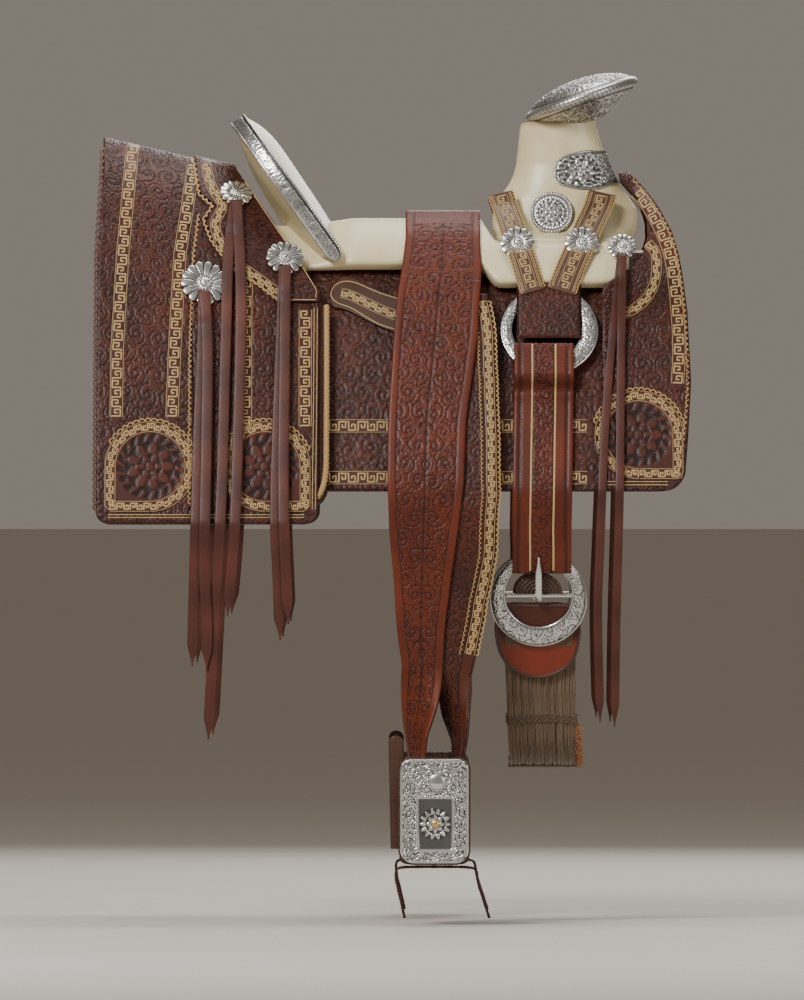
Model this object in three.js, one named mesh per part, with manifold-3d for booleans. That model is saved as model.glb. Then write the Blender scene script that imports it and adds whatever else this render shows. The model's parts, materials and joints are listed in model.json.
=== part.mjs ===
// A Mexican charro stock saddle, millimetres. +X is toward the horse's head, +Y is the near side,
// +Z is up. The origin is on the centre plane, level with the lower edges of the tree's bars.
import * as THREE from 'three';
import { mergeVertices } from 'three/addons/utils/BufferGeometryUtils.js';
import ManifoldModule from 'manifold-3d';

const wasm = await ManifoldModule();
wasm.setup();
const { Manifold, Mesh: ManifoldMesh } = wasm;

// Driving dimensions.
const SEAT_RIDGE = 88;
const SKIRT_BOTTOM = -238;
const COVER_BOTTOM = -279;
const RIG_CENTRE = [188, -37];
const BUCKLE_CENTRE = [174, -375];
const RING_RADIUS = 62;
const RING_BAND = 22;
const CAP_RADIUS = 75;
const STIRRUP_Y = 242;
const BOLT = [46, -603];
const GAP = 0.4;

const model = new THREE.Group();
model.name = 'charro_saddle';

const MATERIALS = {
  rawhide: [0xe6dcc0, 0.55, 0],
  silver: [0xc9c9cc, 0.28, 1],
  tooled: [0x3a2420, 0.5, 0],
  brown: [0x5d3321, 0.5, 0],
  lining: [0xcdbb9b, 0.95, 0],
  thong: [0x6b4a38, 0.7, 0],
  cord: [0xb09878, 0.9, 0],
};

// Manifold helpers.
function toSolid(geometry) {
  const plain = geometry.clone();
  plain.deleteAttribute('normal');
  plain.deleteAttribute('uv');
  const merged = mergeVertices(plain, 1e-4);
  const index = merged.index.array;
  const triVerts = [];
  for (let i = 0; i < index.length; i += 3) {
    const [a, b, c] = [index[i], index[i + 1], index[i + 2]];
    if (a !== b && b !== c && c !== a) {
      triVerts.push(a, b, c);
    }
  }
  const solid = new Manifold(new ManifoldMesh({
    numProp: 3,
    vertProperties: Float32Array.from(merged.attributes.position.array),
    triVerts: Uint32Array.from(triVerts),
  }));
  if (solid.volume() < 0) {
    throw new Error('a solid is inside out');
  }
  return solid;
}

// The biggest of a solid's separate bodies: cuts leave slivers behind.
function largestBody(solid) {
  return solid.decompose().reduce((best, piece) => (piece.volume() > best.volume() ? piece : best));
}

function toGeometry(solid) {
  const mesh = solid.getMesh();
  const geometry = new THREE.BufferGeometry();
  const points = new Float32Array(mesh.numVert * 3);
  for (let i = 0; i < mesh.numVert; i += 1) {
    for (let k = 0; k < 3; k += 1) {
      points[i * 3 + k] = mesh.vertProperties[i * mesh.numProp + k];
    }
  }
  geometry.setAttribute('position', new THREE.BufferAttribute(points, 3));
  geometry.setIndex(Array.from(mesh.triVerts));
  return geometry;
}

function add(name, solid, materialName) {
  const geometry = toGeometry(solid).toNonIndexed();
  geometry.computeVertexNormals();
  const [color, roughness, metalness] = MATERIALS[materialName];
  const material = new THREE.MeshStandardMaterial({ color, roughness, metalness });
  const mesh = new THREE.Mesh(geometry, material);
  mesh.name = name;
  model.add(mesh);
}

// A closed panel: a unit box of nu by nv by nw cells, each corner moved by place(u, v, w).
function panel(nu, nv, nw, place) {
  const box = new THREE.BoxGeometry(1, 1, 1, nu, nv, nw);
  box.deleteAttribute('normal');
  box.deleteAttribute('uv');
  const merged = mergeVertices(box, 1e-5);
  const position = merged.attributes.position;
  for (let i = 0; i < position.count; i += 1) {
    const point = place(position.getX(i) + 0.5, position.getY(i) + 0.5, position.getZ(i) + 0.5);
    position.setXYZ(i, point[0], point[1], point[2]);
  }
  const index = merged.index;
  let volume = 0;
  const a = new THREE.Vector3();
  const b = new THREE.Vector3();
  const c = new THREE.Vector3();
  for (let i = 0; i < index.count; i += 3) {
    a.fromBufferAttribute(position, index.getX(i));
    b.fromBufferAttribute(position, index.getX(i + 1));
    c.fromBufferAttribute(position, index.getX(i + 2));
    volume += a.dot(b.cross(c));
  }
  if (volume < 0) {
    for (let i = 0; i < index.count; i += 3) {
      const first = index.getX(i);
      index.setX(i, index.getX(i + 1));
      index.setX(i + 1, first);
    }
  }
  return toSolid(merged);
}

// The horse's back: half its width at a depth t under the ridge line.
const halfWidth = (t) => 0.2 * Math.sqrt(t * t + 3000 * t);
const flare = (t) => 0.2 * (t + 1500) / Math.sqrt(t * t + 3000 * t);

// A point on a layer that lies off millimetres outside the back, at the depth t. Gives [y, z, ny, nz].
function layer(ridge, t, off) {
  const depth = Math.max(t, 0.005);
  const rise = flare(depth);
  const length = Math.hypot(1, rise);
  return [halfWidth(depth) + off / length, ridge - depth + off * rise / length, 1 / length, rise / length];
}

// The layer point at a height z.
function layerAt(ridge, z, off) {
  let t = ridge - z + off * 0.5;
  for (let i = 0; i < 25; i += 1) {
    t += (layer(ridge, t, off)[1] - z) * 0.8;
    t = Math.max(t, 0.005);
  }
  return layer(ridge, t, off);
}

const seatRidge = () => SEAT_RIDGE;
const rearRidge = (x) => 121 - 0.235 * (x + 100);

function frontRidge(x, z) {
  const s = Math.min(Math.max((z + 55) / 100, 0), 1);
  return SEAT_RIDGE + 62 * s * s * (3 - 2 * s);
}

// A leather sheet over the back on one side, between two offsets.
function sheet(side, ridge, x0, x1, topT, bottom, inner, outer, nx, nz) {
  return panel(nx, nz, 1, (u, v, w) => {
    const x = x0 + (x1 - x0) * u;
    const s = 1 - v;
    const top = ridge(x, 200) - topT;
    const nominal = top + (bottom - top) * s * s;
    const t = ridge(x, nominal) - nominal;
    const [y, z] = layer(ridge(x, nominal), t, inner + (outer - inner) * w);
    return [x, side * y, z];
  });
}

// A cutter: a side-view outline [x, z] pushed through the whole width of one side.
function sideCutter(outline, y0, y1) {
  const shape = new THREE.Shape(outline.map(([x, z]) => new THREE.Vector2(x, z)));
  const geometry = new THREE.ExtrudeGeometry(shape, { depth: y1 - y0, bevelEnabled: false });
  geometry.rotateX(Math.PI / 2);
  geometry.translate(0, y1, 0);
  return toSolid(geometry);
}

function cutOut(solid, outline) {
  return solid.intersect(sideCutter(outline, -420, 420));
}

// Rounded corners on a closed outline; each corner is [x, z, radius].
function rounded(corners, steps = 4) {
  const points = [];
  corners.forEach((corner, i) => {
    const [x, z, radius = 0] = corner;
    if (!radius) {
      points.push([x, z]);
      return;
    }
    const before = corners[(i + corners.length - 1) % corners.length];
    const after = corners[(i + 1) % corners.length];
    const back = new THREE.Vector2(before[0] - x, before[1] - z);
    const ahead = new THREE.Vector2(after[0] - x, after[1] - z);
    const reach = Math.min(radius, back.length() * 0.48, ahead.length() * 0.48);
    back.setLength(reach);
    ahead.setLength(reach);
    for (let k = 0; k <= steps; k += 1) {
      const s = k / steps;
      const p = (1 - s) * (1 - s);
      const r = s * s;
      points.push([x + back.x * p + ahead.x * r, z + back.y * p + ahead.y * r]);
    }
  });
  return points;
}

// A strap along stations { at: [x, y, z], side: [x, y, z], width }, side being its width direction.
function strap(stations, thickness, across = 1, smooth = 1) {
  const stops = stations.map((s) => new THREE.Vector3(...s.at));
  const centre = new THREE.CatmullRomCurve3(stops, false, 'centripetal');
  const count = (stations.length - 1) * smooth;
  const frames = [];
  for (let i = 0; i <= count; i += 1) {
    const position = centre.getPoint(i / count);
    const tangent = centre.getTangent(i / count);
    const place = i / smooth;
    const lower = Math.min(Math.floor(place), stations.length - 2);
    const s = place - lower;
    const from = stations[lower];
    const to = stations[lower + 1];
    const side = new THREE.Vector3(...from.side).lerp(new THREE.Vector3(...to.side), s);
    side.addScaledVector(tangent, -side.dot(tangent)).normalize();
    const normal = new THREE.Vector3().crossVectors(tangent, side).normalize();
    frames.push({ position, side, normal, width: from.width + (to.width - from.width) * s });
  }
  return panel(across, count, 1, (u, v, w) => {
    const frame = frames[Math.round(v * count)];
    const point = frame.position.clone();
    point.addScaledVector(frame.side, (u - 0.5) * frame.width);
    point.addScaledVector(frame.normal, (w - 0.5) * thickness);
    return [point.x, point.y, point.z];
  });
}

// A flat plate or ring in a tilted frame: local x is X, local y is up the face, local z is outward.
function tilt(geometry, centre, y, ny, nz, side) {
  const basis = new THREE.Matrix4().makeBasis(
    new THREE.Vector3(side, 0, 0),
    new THREE.Vector3(0, -side * nz, ny),
    new THREE.Vector3(0, side * ny, nz),
  );
  const matrix = new THREE.Matrix4().makeTranslation(centre[0], side * y, centre[1]).multiply(basis);
  const placed = geometry.clone().applyMatrix4(matrix);
  if (matrix.determinant() < 0) {
    const index = placed.index;
    for (let i = 0; i < index.count; i += 3) {
      const first = index.getX(i);
      index.setX(i, index.getX(i + 1));
      index.setX(i + 1, first);
    }
  }
  return toSolid(placed);
}

function ringGeometry(outer, inner, half, segments) {
  const profile = [
    [inner, -half + 1], [inner + 1, -half], [outer - 1, -half], [outer, -half + 1],
    [outer, half - 1], [outer - 1, half], [inner + 1, half], [inner, half - 1], [inner, -half + 1],
  ].map(([r, h]) => new THREE.Vector2(r, h));
  const geometry = new THREE.LatheGeometry(profile, segments);
  geometry.rotateX(Math.PI / 2);
  geometry.deleteAttribute('normal');
  geometry.deleteAttribute('uv');
  return mergeVertices(geometry, 1e-4);
}

function boxGeometry(x0, x1, y0, y1, z0, z1) {
  const geometry = new THREE.BoxGeometry(x1 - x0, y1 - y0, z1 - z0);
  geometry.translate((x0 + x1) / 2, (y0 + y1) / 2, (z0 + z1) / 2);
  geometry.deleteAttribute('normal');
  geometry.deleteAttribute('uv');
  return mergeVertices(geometry, 1e-5);
}

function block(x0, x1, y0, y1, z0, z1) {
  return toSolid(boxGeometry(x0, x1, y0, y1, z0, z1));
}

// A lathe solid about a line through centre along axis; profile is [radius, height] pairs.
function turned(profile, centre, axis, segments = 24) {
  const geometry = new THREE.LatheGeometry(profile.map(([r, h]) => new THREE.Vector2(r, h)), segments);
  const heading = new THREE.Vector3(...axis).normalize();
  const turn = new THREE.Quaternion().setFromUnitVectors(new THREE.Vector3(0, 1, 0), heading);
  geometry.applyQuaternion(turn);
  geometry.translate(...centre);
  return toSolid(geometry);
}

// The tree's bars, and the same bars grown by a clearance for cutting their neighbours.
function barSolid(side, grow) {
  return panel(24, 4, 1, (u, v, w) => {
    const x = -215 - grow + (505 + 2 * grow) * u;
    const rear = Math.min(Math.max((-60 - x) / 60, 0), 1);
    const front = Math.min(Math.max((x - 104) / 12, 0), 1);
    const rounding = Math.max(0, (x - 262) / 28) ** 2 * 12 + Math.max(0, (-190 - x) / 25) ** 2 * 10;
    const top = 10 + 24 * front + rounding - grow;
    const bottom = 60 + 22 * front - rounding + grow;
    const t = bottom + (top - bottom) * v;
    const off = w < 0.5 ? 15.5 - grow : 37.5 - 13 * rear + grow;
    const [y, z] = layer(SEAT_RIDGE, t, off);
    return [x, side * y, z];
  });
}

const barCutter = barSolid(1, GAP).add(barSolid(-1, GAP));
for (const [side, name] of [[-1, 'off'], [1, 'near']]) {
  add(`${name}_bar`, barSolid(side, 0), 'rawhide');
}

// Horn cap: a wide lens, tipped up at the front.
const capCentre = [230, 0, 258];
const capAxis = [-Math.sin(0.34), 0, Math.cos(0.34)];
function capSolid(grow) {
  const r = CAP_RADIUS + grow;
  const profile = [
    [0, -32 - grow], [24, -30 - grow], [46, -20 - grow], [66, -8 - grow], [r, -1.5],
    [r, 1.5], [68, 9 + grow], [48, 18 + grow], [26, 24 + grow], [0, 26 + grow],
  ];
  return turned(profile, capCentre, capAxis, 32);
}
add('horn_cap', capSolid(0), 'silver');

// Fork: the neck of the tree, its front view crossed with its side view.
const forkSide = rounded([
  [152, 250, 0], [149, 196, 12], [144, 158, 16], [117, 140, 16], [114, 90, 20], [124, 62, 6],
  [262, 62, 6], [298, 76, 18], [302, 112, 22], [277, 150, 24], [264, 182, 20], [242, 250, 0],
]);
const forkFront = [
  [-27, 250], [-27, 212], [-30, 180], [-38, 150], [-46, 120],
  [-52, 100], [-55, 88], [-70, 82], [-84, 76], [-84, 62],
  [-30, 62], [-24, 78], [-12, 89], [0, 92], [12, 89], [24, 78], [30, 62],
  [84, 62], [84, 76], [70, 82], [55, 88], [52, 100], [46, 120], [38, 150], [30, 180], [27, 212], [27, 250],
];
function frontCutter(outline, x0, x1) {
  const shape = new THREE.Shape(outline.map(([y, z]) => new THREE.Vector2(y, z)));
  const geometry = new THREE.ExtrudeGeometry(shape, { depth: x1 - x0, bevelEnabled: false });
  geometry.rotateX(Math.PI / 2);
  geometry.rotateZ(Math.PI / 2);
  geometry.translate(x0, 0, 0);
  return toSolid(geometry);
}
let fork = frontCutter(forkFront, 90, 330).intersect(sideCutter(forkSide, -90, 90));
fork = fork.subtract(barCutter).subtract(capSolid(GAP));
// The fork's foot stays clear of the leathers under it.
for (const side of [-1, 1]) {
  fork = fork.subtract(sheet(side, seatRidge, 90, 330, 24, 10, -30, 15.1, 2, 6));
}
fork = largestBody(fork);
add('fork', fork, 'rawhide');

// Cantle: a dished board leaning back, with a silver rim.
const CANTLE_FOOT = [-69, 44];
const CANTLE_UP = [-0.585, 0.811];
const CANTLE_LENGTH = 229;
const CANTLE_HALF = 122;
const CANTLE_SHOULDER = 92;
function cantlePoint(across, up, forward) {
  return [
    CANTLE_FOOT[0] + CANTLE_UP[0] * up + CANTLE_UP[1] * forward,
    across,
    CANTLE_FOOT[1] + CANTLE_UP[1] * up - CANTLE_UP[0] * forward,
  ];
}
function cantleEdge(angle, grow) {
  const c = Math.cos(angle);
  const s = Math.sin(angle);
  const across = Math.sign(c) * Math.abs(c) ** 0.72 * (CANTLE_HALF + grow);
  const up = CANTLE_SHOULDER + s ** 0.8 * (CANTLE_LENGTH - CANTLE_SHOULDER + grow);
  return [across, up];
}
// The board's sides draw in a little toward the bars.
const sideNarrow = (share) => 0.96 + 0.04 * share;
function cantleSolid() {
  return panel(18, 5, 1, (u, v, w) => {
    const angle = Math.PI * (1 - u);
    const [across, up] = cantleEdge(angle, 0);
    const narrow = sideNarrow(v);
    const height = 6 + (up - 6) * v;
    const bow = 1 - (across * narrow / CANTLE_HALF) ** 2;
    const front = 4 + 30 * bow * (0.35 + 0.65 * v) * (1 - 0.85 * v ** 6);
    const back = -(7 + 26 * bow * (1 - v ** 4) + 4 * (1 - v));
    return cantlePoint(across * narrow, height, w < 0.5 ? back : front);
  });
}
// The line in side view where the leathers behind meet the cantle.
const cantleBack = (z) => -106 - 0.6644 * (z - 20);
const rearRoom = sideCutter([
  [cantleBack(172), 172], [cantleBack(-20), -20], [-420, -20], [-420, 172],
], -300, 300);
const archPoints = [];
for (let i = -12; i <= 12; i += 1) {
  const [y, z] = layer(SEAT_RIDGE, 0.005 + 70 * (i / 12) ** 2, 15.1);
  archPoints.push([Math.sign(i) * y * (i === 0 ? 0 : 1), z]);
}
const underTree = frontCutter(archPoints, -260, 40);
let cantle = cantleSolid().subtract(barCutter).subtract(rearRoom).subtract(underTree);
cantle = largestBody(cantle);
// The rim runs up one side, over the top and down the other side.
const RIM_START = 12;
const RIM_BACK = -12;
const RIM_WIDTH = 22;
function rimPoint(u, grow) {
  const sideShare = 0.18;
  if (u > sideShare && u < 1 - sideShare) {
    return cantleEdge(Math.PI * (1 - (u - sideShare) / (1 - 2 * sideShare)), grow);
  }
  const climb = Math.min(u, 1 - u) / sideShare;
  const up = RIM_START + (CANTLE_SHOULDER - RIM_START) * climb;
  const across = (CANTLE_HALF + grow) * sideNarrow((up - 6) / (CANTLE_SHOULDER - 6));
  return [u < 0.5 ? -across : across, up];
}
const rimSolid = panel(44, 1, 1, (u, v, w) => {
  const [across, up] = rimPoint(u, v < 0.5 ? GAP : 4.4);
  return cantlePoint(across, up, RIM_BACK + RIM_WIDTH * w);
});
add('cantle', cantle.subtract(rimSolid), 'rawhide');
add('cantle_rim', rimSolid, 'silver');

// Silver medallions: two on the neck's cheeks, one wrapped over its front edge.
const discProfile = (r, h) => [[0, 0], [r - 1, 0], [r, 1], [r, h - 2], [r * 0.82, h - 0.6], [0, h]];
for (const [side, name] of [[-1, 'off'], [1, 'near']]) {
  const cheek = turned(discProfile(27, 5), [192, side * 48.7, 113], [0, side * 0.958, 0.287]);
  add(`${name}_neck_medallion`, cheek.subtract(barCutter), 'silver');
}
// The front plate wraps round the neck: an outer shell less an inner one.
function neckShell(outline, sideGrow) {
  const halfWidths = [[46, 132], [38, 150], [30, 180], [27, 212]];
  const section = [
    ...halfWidths.map(([y, z]) => [y + sideGrow, z]),
    ...[...halfWidths].reverse().map(([y, z]) => [-y - sideGrow, z]),
  ];
  return sideCutter(outline, -60, 60).intersect(frontCutter(section, 180, 320));
}
const plateOuter = rounded([
  [244, 190, 12], [216, 185, 16], [205, 166, 14], [212, 148, 12], [240, 142, 10], [276.6, 162, 4], [264.6, 192, 8],
]);
const plateInner = [[190, 210], [190, 130], [290, 130], [277.9, 150], [264.9, 182], [256, 210]];
add('neck_front_medallion', neckShell(plateOuter, 4.4).subtract(neckShell(plateInner, 0.4)), 'silver');

// Outlines in side view.
const coverOutline = rounded([
  [-381, COVER_BOTTOM, 42], [-103, COVER_BOTTOM, 42], [-101, 12, 0], [cantleBack(20) - 1, 20, 0],
  [cantleBack(171) - 1, 171, 8], [-212, 260, 0], [-378, 260, 0], [-374, 150, 30], [-381, 60, 20],
]);
const bagOutline = rounded([
  [-372, -259, 40], [-92, -259, 40], [-92, -10, 0], [cantleBack(20) - 3, 20, 0],
  [cantleBack(165) - 3, 165, 0], [-215, 260, 0], [-372, 260, 0],
]);
const rearJockeyOutline = rounded([
  [-144, -3, 4], [-176, 24, 8], [-212, 47, 8], [-236, 80, 8], [-246, 106, 8], [-231, 124, 6],
  [-254, 136, 8], [-262, 260, 0], [-212, 260, 0], [cantleBack(170) - 1, 170, 6],
  [cantleBack(105) + 2, 105, 8], [cantleBack(46) - 2, 46, 6], [-99, 14, 5], [-100, -3, 4],
]);
const skirtOutline = rounded([
  [-300, SKIRT_BOTTOM, 30], [340, SKIRT_BOTTOM, 30], [340, 120, 0], [-300, 120, 0],
]);
const frontJockeyOutline = rounded([
  [254, SKIRT_BOTTOM, 6], [352, SKIRT_BOTTOM, 40], [366, -100, 30], [362, -12, 30], [351, 62, 24],
  [326, 122, 20], [292, 168, 14], [278, 260, 0], [276, 260, 0], [277, 156, 8], [307, 120, 16],
  [312, 84, 16], [300, 50, 18], [266, 30, 14], [254, 14, 8],
]);
const tabOutline = rounded([
  [-92, 30, 14], [-92, -6, 14], [-60, -14, 10], [20, -50, 0], [60, -50, 0], [60, 0, 0], [-20, 10, 12], [-60, 30, 12],
]);

const chordTop = layer(SEAT_RIDGE, 28, 0);
const chordBottom = layer(SEAT_RIDGE, 318, 0);

for (const [side, name] of [[-1, 'off'], [1, 'near']]) {
  // Fleece-lined pad: its inner face is one flat plane that rests on the horse.
  add(`${name}_lining`, cutOut(panel(2, 8, 1, (u, v, w) => {
    const s = 1 - v;
    const t = 28 + 290 * s;
    const [yo, zo] = layer(SEAT_RIDGE, t, 7.6);
    const yi = chordTop[0] + (chordBottom[0] - chordTop[0]) * s;
    const zi = chordTop[1] + (chordBottom[1] - chordTop[1]) * s;
    return [-292 + 624 * u, side * (w < 0.5 ? yi : yo), w < 0.5 ? zi : zo];
  }), rounded([[-292, -260, 30], [332, -260, 30], [332, 90, 0], [-292, 90, 0]])), 'lining');

  add(`${name}_base_skirt`, cutOut(
    sheet(side, seatRidge, -300, 340, 34, SKIRT_BOTTOM, 8, 12, 4, 9), skirtOutline), 'tooled');

  add(`${name}_bag`, cutOut(
    sheet(side, rearRidge, -373, -91, 0.005, -262, 6, 20, 4, 12), bagOutline), 'tooled');
  add(`${name}_bag_cover`, cutOut(
    sheet(side, rearRidge, -382, -100, 0.005, COVER_BOTTOM - 2, 20.5, 24.5, 4, 14), coverOutline), 'tooled');
  add(`${name}_rear_jockey`, cutOut(
    sheet(side, rearRidge, -270, -98, 0.005, -10, 25, 28.5, 4, 9), rearJockeyOutline), 'tooled');
  add(`${name}_front_jockey`, cutOut(
    sheet(side, frontRidge, 252, 368, 0.005, SKIRT_BOTTOM - 1, 12.5, 16.5, 4, 16), frontJockeyOutline), 'tooled');
  add(`${name}_rigging_tab`, cutOut(
    sheet(side, seatRidge, -94, 62, 40, -60, 12.4, 16, 3, 6), tabOutline), 'tooled');

  // Rigging: upper ring, V yoke, latigo, buckle ring.
  const [ringY, , ringNy, ringNz] = layerAt(SEAT_RIDGE, RIG_CENTRE[1], 24);
  const placeRing = (geometry) => tilt(geometry, RIG_CENTRE, ringY, ringNy, ringNz, side);
  add(`${name}_rigging_ring`, placeRing(ringGeometry(RING_RADIUS, RING_RADIUS - RING_BAND, 3, 32)), 'silver');
  const ringSlot = placeRing(ringGeometry(RING_RADIUS + 3, RING_RADIUS - RING_BAND - 3, 5.8, 32));
  const ringSlotTight = placeRing(ringGeometry(RING_RADIUS + 1, RING_RADIUS - RING_BAND - 1, 3.6, 32));
  const local = (x0, x1, y0, y1, z0, z1) => placeRing(boxGeometry(
    Math.min(side * x0, side * x1), Math.max(side * x0, side * x1), y0, y1, z0, z1));

  const faceY = (z) => {
    const points = [[150, 42], [140, 44.5], [124, 53], [113, 64], [101, 76], [83, 92.5], [62, 110],
      [44, 121.5], [25, 128.5], [5, 136], [-20, 147]];
    for (let i = 0; i < points.length - 1; i += 1) {
      if (z <= points[i][0] && z >= points[i + 1][0]) {
        const s = (points[i][0] - z) / (points[i][0] - points[i + 1][0]);
        return points[i][1] + (points[i + 1][1] - points[i][1]) * s;
      }
    }
    return points[points.length - 1][1];
  };
  const yokeStations = (path, width) => path.map(([x, z]) => ({
    at: [x, side * (faceY(z) + 3), z], side: [1, 0, 0], width,
  }));
  const rearRoute = [[127, 138], [131, 124], [135, 112], [140, 98], [146, 80], [152, 62], [158, 44], [166, 24]];
  const frontRoute = [[256, 138], [252, 124], [247, 112], [240, 98], [232, 80], [224, 62], [216, 44], [206, 24]];
  const rearArm = strap(yokeStations(rearRoute, 31), 3.4, 1, 1);
  const frontArm = strap(yokeStations(frontRoute, 35), 3.4, 1, 1);
  const fold = local(-38, 38, 34, 70, -7, 7).subtract(ringSlotTight);
  const keeper = local(-38, 37, -14, 70, 4.2, 7.8);
  let yoke = rearArm.add(frontArm).add(fold).add(keeper).subtract(barSolid(side, GAP));
  yoke = largestBody(yoke.subtract(fork));
  add(`${name}_rigging_yoke`, yoke, 'brown');

  const hang = (z) => {
    const over = layerAt(SEAT_RIDGE, z, 17.8)[0];
    const lean = 231 + 0.234 * (z + 238);
    return -4 * Math.log(Math.exp(-(over - 200) / 4) + Math.exp(-(lean - 200) / 4)) + 200;
  };
  const latigoStations = [];
  for (let z = -104; z >= -326; z -= 18.5) {
    latigoStations.push({ at: [181 + (z + 104) * 0.018, side * hang(z), z], side: [1, 0, 0], width: 75 });
  }
  const buckleY = 199;
  const buckleNy = 0.974;
  const buckleNz = -0.228;
  const placeBuckle = (geometry) => tilt(geometry, BUCKLE_CENTRE, buckleY, buckleNy, buckleNz, side);
  const localBuckle = (x0, x1, y0, y1, z0, z1) => placeBuckle(boxGeometry(
    Math.min(side * x0, side * x1), Math.max(side * x0, side * x1), y0, y1, z0, z1));
  const latigoTop = local(-44, 31, -70, -22, -8.2, 8.2).subtract(ringSlot);
  const buckleSlot = placeBuckle(ringGeometry(RING_RADIUS, RING_RADIUS - RING_BAND - 1, 3.6, 32));
  const latigoEnd = localBuckle(-33, 41, 33, 68, -6.6, 6.6).subtract(buckleSlot);
  let latigo = strap(latigoStations, 3.6, 1, 1).add(latigoTop).add(latigoEnd);
  latigo = largestBody(latigo.subtract(ringSlot).subtract(buckleSlot));
  add(`${name}_latigo`, latigo, 'brown');

  const crossBar = localBuckle(-46, 46, 2, 8, -2.6, 2.6);
  const buckleBand = placeBuckle(ringGeometry(RING_RADIUS - 1, RING_RADIUS - 1 - RING_BAND, 3, 32));
  add(`${name}_buckle_ring`, buckleBand.add(crossBar), 'silver');
  const tongueEye = localBuckle(-5, 5, -1.8, 11.8, -6.9, 11.8).subtract(localBuckle(-9, 9, 0.7, 9.3, -4.3, 4.3));
  const tongueShank = localBuckle(-4, 4, 8, 50, 7.4, 11.8);
  const tongueTip = localBuckle(-2.2, 2.2, 49, 57, 7.6, 10.8);
  add(`${name}_buckle_tongue`, tongueEye.add(tongueShank).add(tongueTip), 'silver');

  // Cinch safe: a half-moon leather between the buckle ring and the cinch.
  const safeOutline = [[-46, -22, 4], [46, -22, 4], [52, -46, 10], [44, -84, 22], [0, -103, 34],
    [-44, -84, 22], [-52, -46, 10]];
  const safeShape = new THREE.Shape(rounded(safeOutline).map(([x, y]) => new THREE.Vector2(x, y)));
  const safeGeometry = new THREE.ExtrudeGeometry(safeShape, { depth: 3.4, bevelEnabled: false });
  safeGeometry.translate(0, 0, -8);
  safeGeometry.deleteAttribute('normal');
  safeGeometry.deleteAttribute('uv');
  add(`${name}_cinch_safe`, placeBuckle(mergeVertices(safeGeometry, 1e-4)), 'brown');

  // Stirrup leather: a loop over the bar, a hanger, the outer leather and the inner fender.
  const wrap = [
    [50, 13.85], [34, 13.85], [20, 13.85], [9, 13.9], [6, 18], [5.5, 26], [6.2, 34], [9, 39.6],
    [14, 40.2], [24, 40.2], [36, 40.2], [48, 40.2], [60, 40.2],
  ];
  add(`${name}_leather_loop`, strap(wrap.map(([t, off]) => {
    const [y, z] = layer(SEAT_RIDGE, t, off);
    return { at: [54, side * y, z], side: [1, 0, 0], width: 94 };
  }), 2.5, 1, 1), 'brown');
  const hangerReach = [side * 117.5, side * 122];
  add(`${name}_leather_hanger`, block(14, 90, Math.min(...hangerReach), Math.max(...hangerReach), 12, 41), 'brown');

  const fenderY = (z, off) => (z > -238 ? layerAt(SEAT_RIDGE, z, off)[0] : layerAt(SEAT_RIDGE, -238, off)[0]);
  const outerEdges = [[36, 1.5, 102.5], [0, -4, 100], [-40, -7.5, 97.5],
    [-90, -11, 91], [-150, -14.5, 83], [-225, -16, 80],
    [-290, -13.5, 72], [-350, -8, 63.5], [-410, -4, 56], [-460, 2.5, 53]];
  const outerStations = outerEdges.map(([z, left, right]) => ({
    at: [(left + right) / 2, side * fenderY(z, 38), z], side: [1, 0, 0], width: right - left,
  }));
  outerStations.push({ at: [24, side * 244.5, -505], side: [Math.cos(0.6), side * Math.sin(0.6), 0], width: 54 });
  outerStations.push({ at: [20, side * 243.5, -545], side: [Math.cos(1.05), side * Math.sin(1.05), 0], width: 54 });
  outerStations.push({ at: [22, side * 242, -582], side: [0.3, side * 0.954, 0], width: 54 });
  outerStations.push({ at: [29, side * 242, -607], side: [0.05, side, 0], width: 54 });
  outerStations.push({ at: [46, side * 242, -616], side: [0, side, 0], width: 54 });
  outerStations.push({ at: [58, side * 242, -611], side: [0, side, 0], width: 54 });
  add(`${name}_stirrup_leather`, strap(outerStations, 4, 1, 2), 'brown');

  const innerEdges = [[8, 8, 110], [-37, 2, 119], [-100, -8, 121.5],
    [-170, -8, 123.5], [-250, -6, 125], [-325, 20, 121],
    [-380, 44, 108], [-425, 48, 100], [-470, 50, 90]];
  const innerStations = innerEdges.map(([z, left, right]) => ({
    at: [(left + right) / 2, side * fenderY(z, 32.5), z], side: [1, 0, 0], width: right - left,
  }));
  innerStations.push({ at: [69, side * 238.5, -510], side: [Math.cos(0.62), side * Math.sin(0.62), 0], width: 46 });
  innerStations.push({ at: [74, side * 240, -550], side: [Math.cos(1.15), side * Math.sin(1.15), 0], width: 48 });
  innerStations.push({ at: [72, side * 241.5, -585], side: [0.15, side * 0.99, 0], width: 48 });
  add(`${name}_fender`, strap(innerStations, 3.4, 1, 2), 'brown');

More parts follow.
